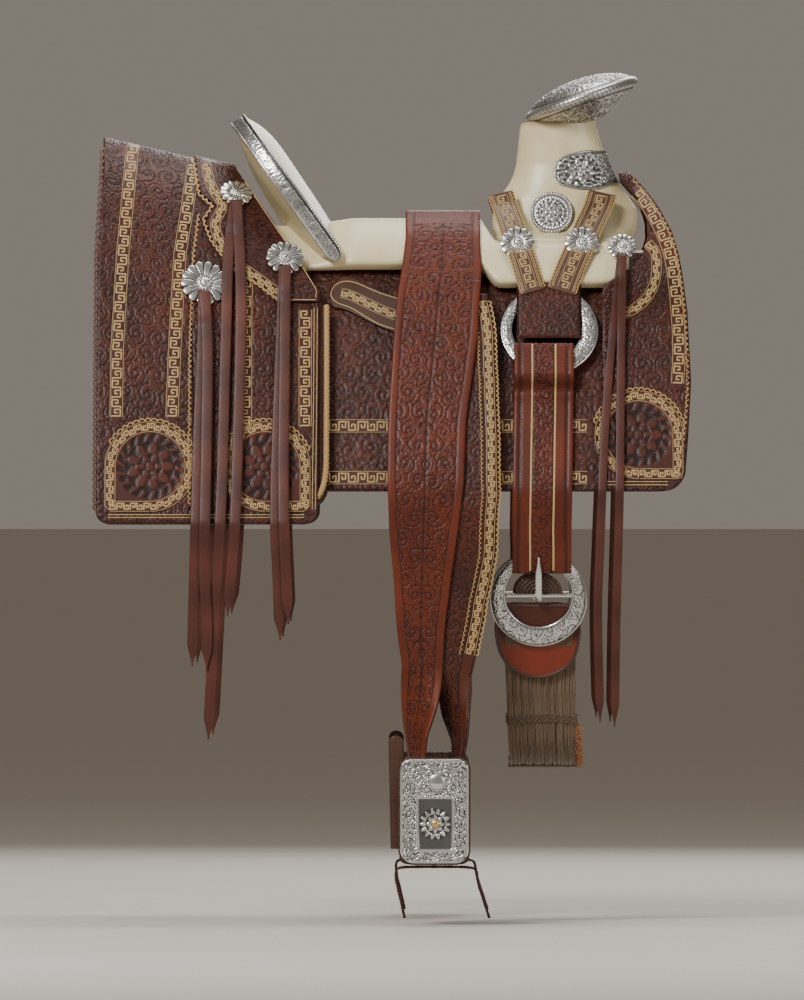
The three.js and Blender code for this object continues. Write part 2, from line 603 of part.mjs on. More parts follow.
  // Stirrup: two boards and a tread, hung on a bolt; an engraved plate on the outer board.
  const sy = (offset) => side * (STIRRUP_Y + offset);
  const lo = (a, b) => Math.min(sy(a), sy(b));
  const hi = (a, b) => Math.max(sy(a), sy(b));
  const bodyOutline = rounded([[-2, -572, 14], [-2, -706, 18], [88, -706, 18], [88, -572, 14]]);
  const hollow = block(-20, 110, lo(-63, 63), hi(-63, 63), -692, -560);
  let stirrup = sideCutter(bodyOutline, lo(-73, 73), hi(-73, 73)).subtract(hollow);
  const boltCylinder = (radius, a, b) => turned(
    [[0, 0], [radius, 0], [radius, Math.abs(b - a)], [0, Math.abs(b - a)]], [BOLT[0], sy(a), BOLT[1]], [0, side, 0], 20);
  stirrup = stirrup.subtract(boltCylinder(7.4, -90, 90));
  add(`${name}_stirrup`, stirrup, 'brown');
  const plateOutline = rounded([[0, -574, 13], [0, -704, 17], [86, -704, 17], [86, -574, 13]]);
  const plate = sideCutter(plateOutline, lo(73.4, 76.4), hi(73.4, 76.4)).subtract(boltCylinder(7.4, -90, 90));
  add(`${name}_stirrup_plate`, plate, 'silver');
  const boltHeads = boltCylinder(11, 76.8, 82).add(boltCylinder(11, -82, -73.4));
  add(`${name}_stirrup_bolt`, boltCylinder(7, -78, 79).add(boltHeads), 'silver');

  // Tie thong round the tread.
  const tie = [
    [6, -775], [1, -752], [-5, -728], [-5.5, -712], [2, -710.2], [20, -709.6], [46, -709.4], [70, -709.6],
    [87, -710.2], [95, -713], [98, -730], [105, -752], [112, -775],
  ];
  add(`${name}_stirrup_tie`, strap(tie.map(([x, z]) => ({
    at: [x, side * STIRRUP_Y, z], side: [0, 1, 0], width: 9,
  })), 3, 1, 1), 'thong');

  // Saddle strings: each is one thong doubled at its concha, with two tails.
  const lieY = (ridge, x, z, off, bottom) => layerAt(ridge(x, Math.max(z, bottom)), Math.max(z, bottom), off)[0];
  const conchaProfile = (r) => [
    [0, 0], [r - 1, 0], [r, 1], [r, 2.4], [r * 0.82, 3.5], [8, 3.8], [8, 6.6], [0, 6.6],
  ];
  const strings = [
    ['rear_low', rearRidge, COVER_BOTTOM, 30.6, 14, 30, 24.9,
      [[-260, -458], [-258, -380], [-256, -300], [-252, -150], [-248, -50], [-247, 14]],
      [[-246, 14], [-242, -60], [-243, -200], [-245, -330], [-242, -400], [-242, -462]]],
    ['rear_high', rearRidge, COVER_BOTTOM, 30.6, 14, 21, 29,
      [[-240, -550], [-232, -400], [-224, -250], [-219, -50], [-216, 60], [-208, 128]],
      [[-206, 128], [-200, 0], [-204, -200], [-208, -300], [-216, -395]]],
    ['rear_mid', rearRidge, COVER_BOTTOM, 30.6, 14, 24, 29,
      [[-150, -425], [-153, -340], [-156, -250], [-150, -60], [-146, 46]],
      [[-144, 46], [-145, -80], [-146, -250], [-140, -405]]],
    ['front', frontRidge, SKIRT_BOTTOM, 18.8, 11, 18.4, 17.2,
      [[251, -528], [248, -400], [250, -325], [258, -150], [270, -20], [279, 60]],
      [[280, 60], [278, -60], [275, -250], [271, -400], [269, -534]]],
  ];
  for (const [label, ridge, bottom, off, width, radius, seat, tailA, tailB] of strings) {
    const stations = [];
    const push = ([x, z], extra) => stations.push({
      at: [x, side * lieY(ridge, x, z, off + extra + (z > 10 ? 1.2 : 0), bottom), z], side: [1, 0, 0], width,
    });
    const inBetween = (tail) => {
      const dense = [];
      for (let i = 0; i < tail.length - 1; i += 1) {
        const pieces = Math.max(1, Math.round(Math.abs(tail[i + 1][1] - tail[i][1]) / 42));
        for (let k = 0; k < pieces; k += 1) {
          const s = k / pieces;
          const [from, to] = [tail[i], tail[i + 1]];
          dense.push([from[0] + (to[0] - from[0]) * s, from[1] + (to[1] - from[1]) * s]);
        }
      }
      dense.push(tail[tail.length - 1]);
      return dense;
    };
    inBetween(tailA).forEach((p) => push(p, 0));
    const [turnX, turnZ] = tailA[tailA.length - 1];
    push([turnX + 0.5, turnZ + 8], 0.6);
    push([turnX + 1, turnZ + 11], 2.1);
    push([turnX + 1.5, turnZ + 8], 3.8);
    inBetween(tailB).forEach((p) => push(p, 4.2));
    const thong = strap(stations, 2.4, 1, 1);
    const [cy, , cny, cnz] = layerAt(ridge(turnX, turnZ), turnZ, seat);
    const spread = (layerAt(ridge(turnX + 10, turnZ), turnZ, seat)[0] - cy) / 10;
    const concha = turned(
      conchaProfile(radius), [turnX + 1, side * cy, turnZ], [-spread * cny, side * cny, cnz], 20);
    add(`${name}_${label}_string`, largestBody(thong.add(concha).simplify(0.02)), 'thong');
  }
}

// Cinch: one wide band of cords from ring to ring under the belly.
const cinchHalf = [
  [-418, 173.6], [-452, 165.6], [-490, 157.4], [-525, 150], [-548, 141],
  [-565, 126], [-575, 104], [-580, 70], [-581.5, 34],
];
const cinchStations = [];
for (const [z, y] of cinchHalf) {
  cinchStations.push({ at: [176.5 + (z + 440) * -0.03, -y, z], side: [1, 0, 0], width: 90 + (z + 440) * 0.04 });
}
cinchStations.push({ at: [180, 0, -582], side: [1, 0, 0], width: 84 });
for (const [z, y] of [...cinchHalf].reverse()) {
  cinchStations.push({ at: [176.5 + (z + 440) * -0.03, y, z], side: [1, 0, 0], width: 90 + (z + 440) * 0.04 });
}
add('cinch', strap(cinchStations, 11, 1, 1), 'cord');

export default model;
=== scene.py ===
"""A Mexican charro stock saddle: the looks that go over its CAD frame.

Lengths are in millimetres until build() turns them into metres. +X is toward the horse's head,
+Y is the near side and +Z is up. Each side is made once, for the off side, and mirrored.
"""
import json
import math

import bpy
import numpy as np
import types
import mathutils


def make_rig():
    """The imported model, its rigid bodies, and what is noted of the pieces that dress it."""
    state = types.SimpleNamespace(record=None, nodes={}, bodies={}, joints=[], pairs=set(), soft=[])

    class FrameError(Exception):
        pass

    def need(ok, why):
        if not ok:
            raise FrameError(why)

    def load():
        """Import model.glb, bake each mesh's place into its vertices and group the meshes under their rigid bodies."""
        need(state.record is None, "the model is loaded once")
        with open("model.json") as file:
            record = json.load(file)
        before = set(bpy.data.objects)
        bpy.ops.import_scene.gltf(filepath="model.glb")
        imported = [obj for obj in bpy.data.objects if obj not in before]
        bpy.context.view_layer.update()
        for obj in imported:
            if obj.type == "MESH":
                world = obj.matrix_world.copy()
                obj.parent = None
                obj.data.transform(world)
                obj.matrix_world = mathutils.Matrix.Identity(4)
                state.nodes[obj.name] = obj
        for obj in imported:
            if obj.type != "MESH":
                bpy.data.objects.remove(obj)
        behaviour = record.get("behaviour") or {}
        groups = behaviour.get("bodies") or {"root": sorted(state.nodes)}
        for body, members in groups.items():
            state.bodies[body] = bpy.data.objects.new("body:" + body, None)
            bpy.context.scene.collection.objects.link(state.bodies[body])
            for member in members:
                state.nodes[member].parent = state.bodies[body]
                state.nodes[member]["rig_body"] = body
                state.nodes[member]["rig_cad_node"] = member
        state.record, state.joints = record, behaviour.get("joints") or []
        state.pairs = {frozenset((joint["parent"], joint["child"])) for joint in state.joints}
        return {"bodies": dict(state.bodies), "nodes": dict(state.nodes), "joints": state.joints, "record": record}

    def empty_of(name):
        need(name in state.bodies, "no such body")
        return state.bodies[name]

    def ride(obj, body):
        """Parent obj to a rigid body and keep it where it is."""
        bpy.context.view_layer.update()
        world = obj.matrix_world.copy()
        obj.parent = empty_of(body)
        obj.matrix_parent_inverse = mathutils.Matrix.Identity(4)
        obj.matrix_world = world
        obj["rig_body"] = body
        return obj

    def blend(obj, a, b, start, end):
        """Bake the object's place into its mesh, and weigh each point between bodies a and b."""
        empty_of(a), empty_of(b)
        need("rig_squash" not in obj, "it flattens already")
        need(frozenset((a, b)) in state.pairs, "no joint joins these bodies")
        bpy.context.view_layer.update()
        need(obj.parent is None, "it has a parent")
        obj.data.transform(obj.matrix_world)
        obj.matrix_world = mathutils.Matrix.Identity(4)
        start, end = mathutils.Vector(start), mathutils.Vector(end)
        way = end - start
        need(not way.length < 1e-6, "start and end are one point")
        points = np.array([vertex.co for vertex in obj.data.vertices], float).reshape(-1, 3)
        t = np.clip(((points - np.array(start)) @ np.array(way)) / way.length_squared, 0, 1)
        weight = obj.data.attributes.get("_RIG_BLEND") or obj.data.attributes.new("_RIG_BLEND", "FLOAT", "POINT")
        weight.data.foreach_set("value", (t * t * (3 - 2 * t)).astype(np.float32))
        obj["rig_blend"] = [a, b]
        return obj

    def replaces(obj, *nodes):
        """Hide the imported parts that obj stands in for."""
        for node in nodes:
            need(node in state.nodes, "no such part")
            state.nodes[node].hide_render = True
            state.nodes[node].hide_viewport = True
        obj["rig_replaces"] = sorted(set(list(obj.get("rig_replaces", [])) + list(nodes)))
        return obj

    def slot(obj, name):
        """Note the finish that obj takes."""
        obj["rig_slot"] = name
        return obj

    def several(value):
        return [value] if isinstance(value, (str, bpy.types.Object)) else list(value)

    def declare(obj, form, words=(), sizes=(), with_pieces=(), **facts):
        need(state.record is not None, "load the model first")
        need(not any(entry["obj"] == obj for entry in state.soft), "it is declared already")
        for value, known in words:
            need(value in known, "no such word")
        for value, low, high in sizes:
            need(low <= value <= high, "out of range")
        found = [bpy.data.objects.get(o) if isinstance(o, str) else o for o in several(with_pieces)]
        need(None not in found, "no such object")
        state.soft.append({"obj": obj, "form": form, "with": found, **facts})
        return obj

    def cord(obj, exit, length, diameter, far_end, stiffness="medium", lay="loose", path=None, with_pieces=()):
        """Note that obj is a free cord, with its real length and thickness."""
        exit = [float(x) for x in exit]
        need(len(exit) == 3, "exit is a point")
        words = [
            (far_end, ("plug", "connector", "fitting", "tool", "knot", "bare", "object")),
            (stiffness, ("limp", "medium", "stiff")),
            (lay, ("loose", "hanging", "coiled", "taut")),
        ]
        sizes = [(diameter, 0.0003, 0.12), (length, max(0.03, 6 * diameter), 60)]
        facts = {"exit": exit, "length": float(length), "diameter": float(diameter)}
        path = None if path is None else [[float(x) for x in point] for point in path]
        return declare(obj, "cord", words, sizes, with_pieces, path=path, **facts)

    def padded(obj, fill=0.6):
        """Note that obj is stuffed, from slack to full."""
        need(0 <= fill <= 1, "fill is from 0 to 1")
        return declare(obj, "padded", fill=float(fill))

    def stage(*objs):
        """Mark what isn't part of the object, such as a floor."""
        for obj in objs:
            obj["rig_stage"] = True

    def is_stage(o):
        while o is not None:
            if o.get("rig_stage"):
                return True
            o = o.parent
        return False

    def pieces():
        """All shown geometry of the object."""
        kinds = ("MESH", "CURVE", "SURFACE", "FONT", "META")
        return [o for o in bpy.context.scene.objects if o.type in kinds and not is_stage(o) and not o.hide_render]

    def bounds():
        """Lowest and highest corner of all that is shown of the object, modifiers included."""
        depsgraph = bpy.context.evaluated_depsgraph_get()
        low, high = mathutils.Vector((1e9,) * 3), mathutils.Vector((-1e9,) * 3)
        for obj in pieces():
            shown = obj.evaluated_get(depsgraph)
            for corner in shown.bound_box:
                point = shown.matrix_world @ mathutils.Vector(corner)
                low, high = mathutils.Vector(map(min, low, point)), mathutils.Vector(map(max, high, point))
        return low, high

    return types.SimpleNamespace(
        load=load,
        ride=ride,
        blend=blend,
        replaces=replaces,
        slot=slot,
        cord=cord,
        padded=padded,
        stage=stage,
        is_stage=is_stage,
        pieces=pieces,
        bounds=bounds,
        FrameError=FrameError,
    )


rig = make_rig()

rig.load()
CAD_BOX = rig.bounds()

MM = 0.001
TAU = 2 * math.pi
RNG = np.random.default_rng(7)

# Driving dimensions, as in the frame.
SEAT_RIDGE = 88.0
SKIRT_BOTTOM = -238.0
COVER_BOTTOM = -279.0
RIG_X, RIG_Z, RIG_OFF = 188.0, -37.0, 24.0
BUCKLE_X, BUCKLE_Y, BUCKLE_Z = 174.0, 199.0, -375.0
BUCKLE_NY, BUCKLE_NZ = 0.974, -0.228
RING_RADIUS = 62.0
RING_BAND = 22.0
STIRRUP_Y = 242.0
BOLT_X, BOLT_Z = 46.0, -603.0

# Distance between the points of a stitched or hung line.
LINE_STEP = 3.0


# ---------------------------------------------------------------- the horse's back

def half_width(t):
    return 0.2 * np.sqrt(t * t + 3000 * t)


def flare(t):
    return 0.2 * (t + 1500) / np.sqrt(t * t + 3000 * t)


def layer(ridge, t, off):
    """Point and outward normal (y, z, ny, nz) of a layer off mm outside the back at a depth t."""
    t = np.maximum(t, 0.005)
    rise = flare(t)
    length = np.hypot(1, rise)
    return half_width(t) + off / length, ridge - t + off * rise / length, 1 / length, rise / length


def layer_at(ridge, z, off):
    """The same, at a height z."""
    t = np.maximum(ridge - z + off * 0.5, 0.005)
    for _ in range(30):
        t = np.maximum(t + (layer(ridge, t, off)[1] - z) * 0.8, 0.005)
    return layer(ridge, t, off)


def seat_ridge(x, z):
    return np.full(np.broadcast(x, z).shape, SEAT_RIDGE)


def rear_ridge(x, z):
    return 121 - 0.235 * (x + 100) + 0 * z


def front_ridge(x, z):
    s = np.clip((z + 55) / 100, 0, 1)
    return SEAT_RIDGE + 62 * s * s * (3 - 2 * s) + 0 * x


def on_layer(ridge, off):
    """A surface: from side-view x, z and a height h gives points on the off side."""
    def place(x, z, h=0.0):
        x, z = np.broadcast_arrays(np.asarray(x, float), np.asarray(z, float))
        y, zz, ny, nz = layer_at(ridge(x, z - off * 0.4), z, off)
        return np.stack([x, -(y + h * ny), zz + h * nz], -1)
    return place


# ---------------------------------------------------------------- meshes

def make_mesh(name, points, faces, material, colours=None, mirror=False):
    """One mesh object. points are in mm; faces is a list of index arrays (quads or triangles)."""
    points = np.asarray(points, np.float64).reshape(-1, 3) * MM
    if mirror:
        points = points * np.array([1, -1, 1])
    blocks = [np.asarray(f, np.int64) for f in faces if len(f)]
    if mirror:
        blocks = [b[:, ::-1] for b in blocks]
    mesh = bpy.data.meshes.new(name)
    loops = np.concatenate([b.ravel() for b in blocks])
    sizes = np.concatenate([np.full(len(b), b.shape[1]) for b in blocks])
    starts = np.concatenate([[0], np.cumsum(sizes)[:-1]])
    mesh.vertices.add(len(points))
    mesh.vertices.foreach_set("co", points.ravel())
    mesh.loops.add(len(loops))
    mesh.loops.foreach_set("vertex_index", loops.astype(np.int32))
    mesh.polygons.add(len(sizes))
    mesh.polygons.foreach_set("loop_start", starts.astype(np.int32))
    mesh.polygons.foreach_set("loop_total", sizes.astype(np.int32))
    mesh.polygons.foreach_set("use_smooth", np.full(len(sizes), True))
    if colours is not None:
        attribute = mesh.attributes.new("tool", "FLOAT_COLOR", "POINT")
        values = np.asarray(colours, np.float32)
        if values.ndim == 1:
            values = np.stack([values, values, values], -1)
        rgba = np.concatenate([values, np.ones((len(values), 1), np.float32)], 1)
        attribute.data.foreach_set("color", rgba.ravel())
    mesh.update(calc_edges=True)
    mesh.validate()
    obj = bpy.data.objects.new(name, mesh)
    bpy.context.scene.collection.objects.link(obj)
    if material is not None:
        mesh.materials.append(material)
    return obj


class Pieces:
    """Builds a piece from several parts of geometry with one material, then both of its sides."""

    def __init__(self):
        self.points, self.faces, self.colours, self.count = [], [], [], 0

    def add(self, points, faces, colour=1.0):
        points = np.asarray(points, float).reshape(-1, 3)
        self.points.append(points)
        for block in faces if isinstance(faces, list) else [faces]:
            self.faces.append(np.asarray(block) + self.count)
        colour = np.asarray(colour, float)
        if colour.ndim == 0:
            colour = np.full((len(points), 3), float(colour))
        elif colour.ndim == 1:
            colour = np.stack([colour] * 3, -1)
        self.colours.append(colour.reshape(-1, 3))
        self.count += len(points)

    def build(self, name, material, body, nodes=(), slot=None, mirror=False):
        obj = make_mesh(name, np.concatenate(self.points), self.faces, material,
                        np.concatenate(self.colours), mirror)
        if body is not None:
            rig.ride(obj, body)
        if nodes:
            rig.replaces(obj, *nodes)
        if slot:
            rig.slot(obj, slot)
        return obj

    def both(self, name, material, body, nodes=(), slot=None):
        """The off side as made, and the near side mirrored. {s} in a name is the side."""
        found = []
        for side, mirror in (("off", False), ("near", True)):
            found.append(self.build(
                name.format(s=side), material, body.format(s=side) if body else None,
                [n.format(s=side) for n in nodes], slot, mirror))
        return found


def grid_faces(rows, columns, wrap_rows=False, wrap_columns=False):
    i = np.arange(rows if wrap_rows else rows - 1)
    j = np.arange(columns if wrap_columns else columns - 1)
    i, j = np.meshgrid(i, j, indexing="ij")
    a = i * columns + j
    b = i * columns + (j + 1) % columns
    c = ((i + 1) % rows) * columns + (j + 1) % columns
    d = ((i + 1) % rows) * columns + j
    return np.stack([a, b, c, d], -1).reshape(-1, 4)


def outward(points, faces, towards):
    """Faces turned so that most of them look along towards."""
    a, b, d = points[faces[:, 0]], points[faces[:, 1]], points[faces[:, 3]]
    normal = np.cross(b - a, d - a)
    return faces if np.sum(normal * towards) > 0 else faces[:, ::-1]


def slab(piece, top, under, colour=1.0, edge_colour=0.8):
    """A closed thick sheet from two grids (rows, columns, 3), top outside."""
    rows, columns = top.shape[:2]
    count = rows * columns
    points = np.concatenate([top.reshape(-1, 3), under.reshape(-1, 3)])
    face = grid_faces(rows, columns)
    face = outward(points[:count], face, (top - under).reshape(-1, 3)[face[:, 0]])
    ring = np.concatenate([
        np.arange(columns), np.arange(1, rows) * columns + columns - 1,
        (rows - 1) * columns + np.arange(columns - 2, -1, -1), np.arange(rows - 2, 0, -1) * columns])
    after = np.roll(ring, -1)
    wall = np.stack([ring, after, after + count, ring + count], -1)
    if np.array_equal(face[0], grid_faces(2, columns)[0]):
        wall = wall[:, ::-1]
    colour = np.broadcast_to(np.asarray(colour, float), (rows, columns)).reshape(-1)
    shade = np.concatenate([colour, np.full(count, edge_colour)])
    piece.add(points, [face, face[:, ::-1] + count, wall], shade)


def tube(piece, line, radius, sides=8, colour=1.0, twist=0.0, lobes=0, lobe=0.0, closed=False, flat=1.0,
         up=(0, -1, 0)):
    """A tube along a line of points; lobes with a twist make it look like a laid cord, and the grooves between the
    lobes are painted darker as shade.
    """
    line = np.asarray(line, float)
    tangent = np.roll(line, -1, 0) - np.roll(line, 1, 0) if closed else np.gradient(line, axis=0)
    tangent /= np.maximum(np.linalg.norm(tangent, axis=1, keepdims=True), 1e-9)
    up = np.broadcast_to(np.asarray(up, float), line.shape)
    side = np.cross(tangent, up)
    side /= np.maximum(np.linalg.norm(side, axis=1, keepdims=True), 1e-9)
    over = np.cross(side, tangent)
    step = np.linalg.norm(np.diff(line, axis=0), axis=1)
    run = np.concatenate([[0], np.cumsum(step)])
    angle = np.arange(sides) / sides * TAU
    radius = np.broadcast_to(np.asarray(radius, float), (len(line),))
    r = radius[:, None] * (1 + lobe
                           * np.abs(np.cos((angle[None, :] * max(lobes, 1) + twist * run[:, None]) / 2)))
    points = (line[:, None] + side[:, None] * (np.cos(angle)[None, :, None] * r[..., None])
              + over[:, None] * (np.sin(angle)[None, :, None] * r[..., None] * flat))
    faces = grid_faces(len(line), sides, closed, True)[:, ::-1]
    blocks = [faces]
    if not closed:
        caps = np.arange(sides)
        blocks += [caps[None, :].copy(), (caps[None, ::-1] + (len(line) - 1) * sides).copy()]
    # Painted shade: darker in the grooves between the lobes.
    shade = 1 - 0.5 * (1 - np.abs(np.cos((angle[None, :] * max(lobes, 1) + twist * run[:, None]) / 2))) \
        if lobes else np.ones((len(line), sides))
    piece.add(points.reshape(-1, 3), blocks, (shade * colour).reshape(-1))


def resample(path, step, closed=False):
    path = np.asarray(path, float)
    if closed:
        path = np.concatenate([path, path[:1]])
    length = np.concatenate([[0], np.cumsum(np.linalg.norm(np.diff(path, axis=0), axis=1))])
    count = max(2, int(round(length[-1] / step)) + 1)
    at = np.linspace(0, length[-1], count)
    out = np.stack([np.interp(at, length, path[:, k]) for k in range(path.shape[1])], -1)
    return out[:-1] if closed else out


def smooth_path(points, step=2.0, closed=False):
    """A Catmull-Rom curve through the points, resampled."""
    p = np.asarray(points, float)
    if closed:
        p = np.concatenate([p[-1:], p, p[:2]])
    else:
        p = np.concatenate([2 * p[:1] - p[1:2], p, 2 * p[-1:] - p[-2:-1]])
    s = np.linspace(0, 1, 12, endpoint=False)[:, None]
    out = []
    for a, b, c, d in zip(p[:-3], p[1:-2], p[2:-1], p[3:]):
        out.append(0.5 * (2 * b + (c - a) * s + (2 * a - 5 * b + 4 * c - d) * s**2
                          + (3 * b - a - 3 * c + d) * s**3))
    line = np.concatenate(out + [p[-2:-1]])
    return resample(line[:-1] if closed else line, step, closed)


def thread(piece, lines, place, width=1.3, height=0.8, colour=1.0, lift=0.0):
    """Raised threads along side-view lines on a surface: each is a low ridge."""
    for line in lines:
        line = np.asarray(line, float)
        if len(line) < 2:
            continue
        d = np.gradient(line, axis=0)
        d /= np.maximum(np.linalg.norm(d, axis=1, keepdims=True), 1e-9)
        n = np.stack([-d[:, 1], d[:, 0]], -1) * width / 2
        rows = []
        for across, h in ((-1, -0.3), (-0.75, 0.62), (0, 1.0), (0.75, 0.62), (1, -0.3)):
            q = line + n * across
            rows.append(place(q[:, 0], q[:, 1], lift + height * h))
        points = np.stack(rows, 0)
        faces = grid_faces(5, len(line))
        a = points.reshape(-1, 3)
        faces = outward(a, faces, np.array([0, -1, 0.2]))
        piece.add(a, faces, colour)


def along(path, a, b):
    """Side-view points at distance a along a resampled path (step 1) and b across it."""
    path = np.asarray(path)
    d = np.gradient(path, axis=0)
    d /= np.maximum(np.linalg.norm(d, axis=1, keepdims=True), 1e-9)
    n = np.stack([-d[:, 1], d[:, 0]], -1)
    at = np.arange(len(path))
    p = np.stack([np.interp(a, at, path[:, k]) for k in range(2)], -1)
    m = np.stack([np.interp(a, at, n[:, k]) for k in range(2)], -1)
    return p + m * np.asarray(b)[..., None]


def densify(points, step):
    out = []
    for p, q in zip(points[:-1], points[1:]):
        n = max(1, int(math.ceil(math.dist(p, q) / step)))
        for k in range(n):
            out.append([p[0] + (q[0] - p[0]) * k / n, p[1] + (q[1] - p[1]) * k / n])
    out.append(list(points[-1]))
    return np.array(out)


KEY_THREAD = 2.1
KEY_HOOK = [(0, 0), (0, 4), (3.1, 4), (3.1, 1.3), (1.5, 1.3), (1.5, 2.7)]


def key_band(piece, corners, place, half=6.6, smooth=False):
    """A stitched Greek-key band along a path: hooks from each edge in turn, and a line on each side."""
    path = smooth_path(corners, 1.0) if smooth else resample(corners, 1.0)
    total = len(path) - 1
    cell = (2 * half - 2.6) / 4
    count = max(1, int(total / (4.5 * cell)))
    pitch = total / count
    scale = pitch / 4.5
    lines = []
    for i in range(count):
        sign = 1 if i % 2 else -1
        hook = [(i * pitch + (0.5 + u) * scale, sign * (-half + 1.3 + v * cell))
                for u, v in [(-0.9, 0)] + KEY_HOOK]
        hook = densify(hook, 2.5)
        lines.append(along(path, hook[:, 0], hook[:, 1]))
    thread(piece, lines, place, KEY_THREAD, 0.8, 1.0)
    run = np.arange(0, total + 0.1, 2.5)
    edge = [along(path, run, np.full(len(run), b)) for b in (-half - 1.2, half + 1.2)]
    thread(piece, edge, place, 0.9, 0.55, 0.8)


def scallops(piece, corners, place, radius=3.4, pitch=7.0, side=1, smooth=False, width=1.7, lift=0.0):
    """A row of small laced arcs along an edge."""
    path = smooth_path(corners, 1.0) if smooth else resample(corners, 1.0)
    total = len(path) - 1
    count = max(1, int(total / pitch))
    pitch = total / count
    lines = []
    angle = np.linspace(0, math.pi, 8)
    for i in range(count):
        a = (i + 0.5) * pitch - np.cos(angle) * pitch * 0.47
        b = side * np.sin(angle) * radius
        lines.append(along(path, a, b))
    thread(piece, lines, place, width, 0.9, 1.0, lift)


# ---------------------------------------------------------------- carved relief

def smoothstep(a, b, v):
    s = np.clip((v - a) / (b - a), 0, 1)
    return s * s * (3 - 2 * s)


def noise(x, s, scale, seed=0):
    """Smooth value noise from a fixed lattice."""
    lattice = np.random.default_rng(seed).random((64, 64))
    u, v = np.asarray(x) / scale, np.asarray(s) / scale
    i, j = np.floor(u).astype(int), np.floor(v).astype(int)
    fu, fv = u - i, v - j
    fu, fv = fu * fu * (3 - 2 * fu), fv * fv * (3 - 2 * fv)
    g = lambda a, b: lattice[a % 64, b % 64]
    return ((g(i, j) * (1 - fu) + g(i + 1, j) * fu) * (1 - fv)
            + (g(i, j + 1) * (1 - fu) + g(i + 1, j + 1) * fu) * fv)


def floral(x, s, pitch=38.0, seed=0):
    """Carved scrollwork: leafy spirals round a lattice of flowers. 1 is raised leather, 0 is a cut line."""
    x, s = np.asarray(x, float), np.asarray(s, float)
    x = x + 7 * (noise(x, s, 47, seed + 3) - 0.5)
    s = s + 7 * (noise(x, s, 47, seed + 4) - 0.5)
    tall = pitch * 0.87
    row = np.floor(s / tall)
    nearest = np.full(x.shape, 9.0)
    height = np.zeros(x.shape)
    for dr in (-1, 0, 1):
        r = row + dr
        shift = np.mod(r, 2) * 0.5
        for dc in (-1, 0, 1):
            c = np.round(x / pitch - shift) + dc
            dx, ds = x - (c + shift) * pitch, s - (r + 0.5) * tall
            rad = np.hypot(dx, ds) / pitch
            turn = np.where(np.mod(c + r, 2) < 1, 1.0, -1.0)
            ang = np.arctan2(ds, dx) * turn + 2.1 * c + 1.3 * r
            # Two leafy arms wind out of each flower; their edges are lobed and each lobe has a vein.
            wind = ang / math.pi + 3.1 * rad
            arm = np.abs(wind - np.round(wind)) * 2
            lobes = 0.5 + 0.5 * np.cos(13 * ang - 20 * rad)
            leaf = smoothstep(0.04, 0.16, 0.80 + 0.16 * lobes - arm) * (1 - 0.7 * (arm < 0.09))
            leaf = leaf * (1 - 0.55 * smoothstep(0.72, 0.95, 0.5 - 0.5 * np.cos(13 * ang - 20 * rad))
                           * (arm > 0.25))
            petal = smoothstep(0.0, 0.03, 0.125 + 0.03 * np.cos(6 * ang) - rad)
            petal = petal * (1 - 0.8 * smoothstep(0.85, 0.98, np.abs(np.cos(3 * ang + 1.57))) * (rad > 0.045))
            motif = np.where(rad < 0.15, petal, leaf)
            motif = np.where(np.abs(rad - 0.165) < 0.014, 0.0, motif)
            closer = rad < nearest
            height = np.where(closer, motif, height)
            nearest = np.minimum(nearest, rad)
    return np.clip(height, 0, 1)


def medallion(x, z, cx, cz, radius):
    """A round carved flower, two rings of petals and a leafy border. Returns (inside, height)."""
    dx, dz = x - cx, z - cz
    rad = np.hypot(dx, dz) / radius
    ang = np.arctan2(dz, dx)
    inner = smoothstep(0.0, 0.07, 0.34 + 0.08 * np.cos(6 * ang) - rad)
    outer = smoothstep(0.0, 0.07, 0.66 + 0.09 * np.cos(9 * ang) - rad)
    veins = 1 - 0.6 * smoothstep(0.75, 0.98, np.abs(np.cos(4.5 * ang + 1.57))) * (rad > 0.42)
    petals = np.where(rad < 0.36, inner * (1 - 0.6 * smoothstep(0.8, 0.98, np.abs(np.cos(3 * ang + 1.57)))),
                      outer * veins)
    centre = smoothstep(0.0, 0.05, 0.12 - rad)
    leaves = smoothstep(0.0, 0.35, np.cos(18 * ang + 9 * rad)) * smoothstep(0.74, 0.79, rad)
    rim = smoothstep(0.03, 0.0, np.abs(rad - 0.985)) + smoothstep(0.02, 0.0, np.abs(rad - 0.75))
    cut = 1 - smoothstep(0.03, 0.0, np.abs(rad - 0.15))
    return rad < 1, np.clip(np.maximum.reduce([petals * cut, centre, leaves * 0.9, rim]), 0, 1)


# ---------------------------------------------------------------- materials

def new_material(name):
    material = bpy.data.materials.new(name)
    material.use_nodes = True
    tree = material.node_tree
    shader = tree.nodes["Principled BSDF"]
    return material, tree, shader


def mix_colour(tree, factor, low, high):
    ramp = tree.nodes.new("ShaderNodeValToRGB")
    ramp.color_ramp.elements[0].color = (*low, 1)
    ramp.color_ramp.elements[1].color = (*high, 1)
    tree.links.new(factor, ramp.inputs["Fac"])
    return ramp.outputs["Color"]


def tool_value(tree):
    attribute = tree.nodes.new("ShaderNodeAttribute")
    attribute.attribute_name = "tool"
    split = tree.nodes.new("ShaderNodeSeparateColor")
    tree.links.new(attribute.outputs["Color"], split.inputs["Color"])
    return split.outputs["Red"]


def object_noise(tree, scale, detail=4.0, kind="noise"):
    where = tree.nodes.new("ShaderNodeTexCoord")
    if kind == "voronoi":
        node = tree.nodes.new("ShaderNodeTexVoronoi")
        node.inputs["Scale"].default_value = scale
        tree.links.new(where.outputs["Object"], node.inputs["Vector"])
        return node.outputs["Distance"]
    node = tree.nodes.new("ShaderNodeTexNoise")
    node.inputs["Scale"].default_value = scale
    node.inputs["Detail"].default_value = detail
    tree.links.new(where.outputs["Object"], node.inputs["Vector"])
    return node.outputs["Fac"]


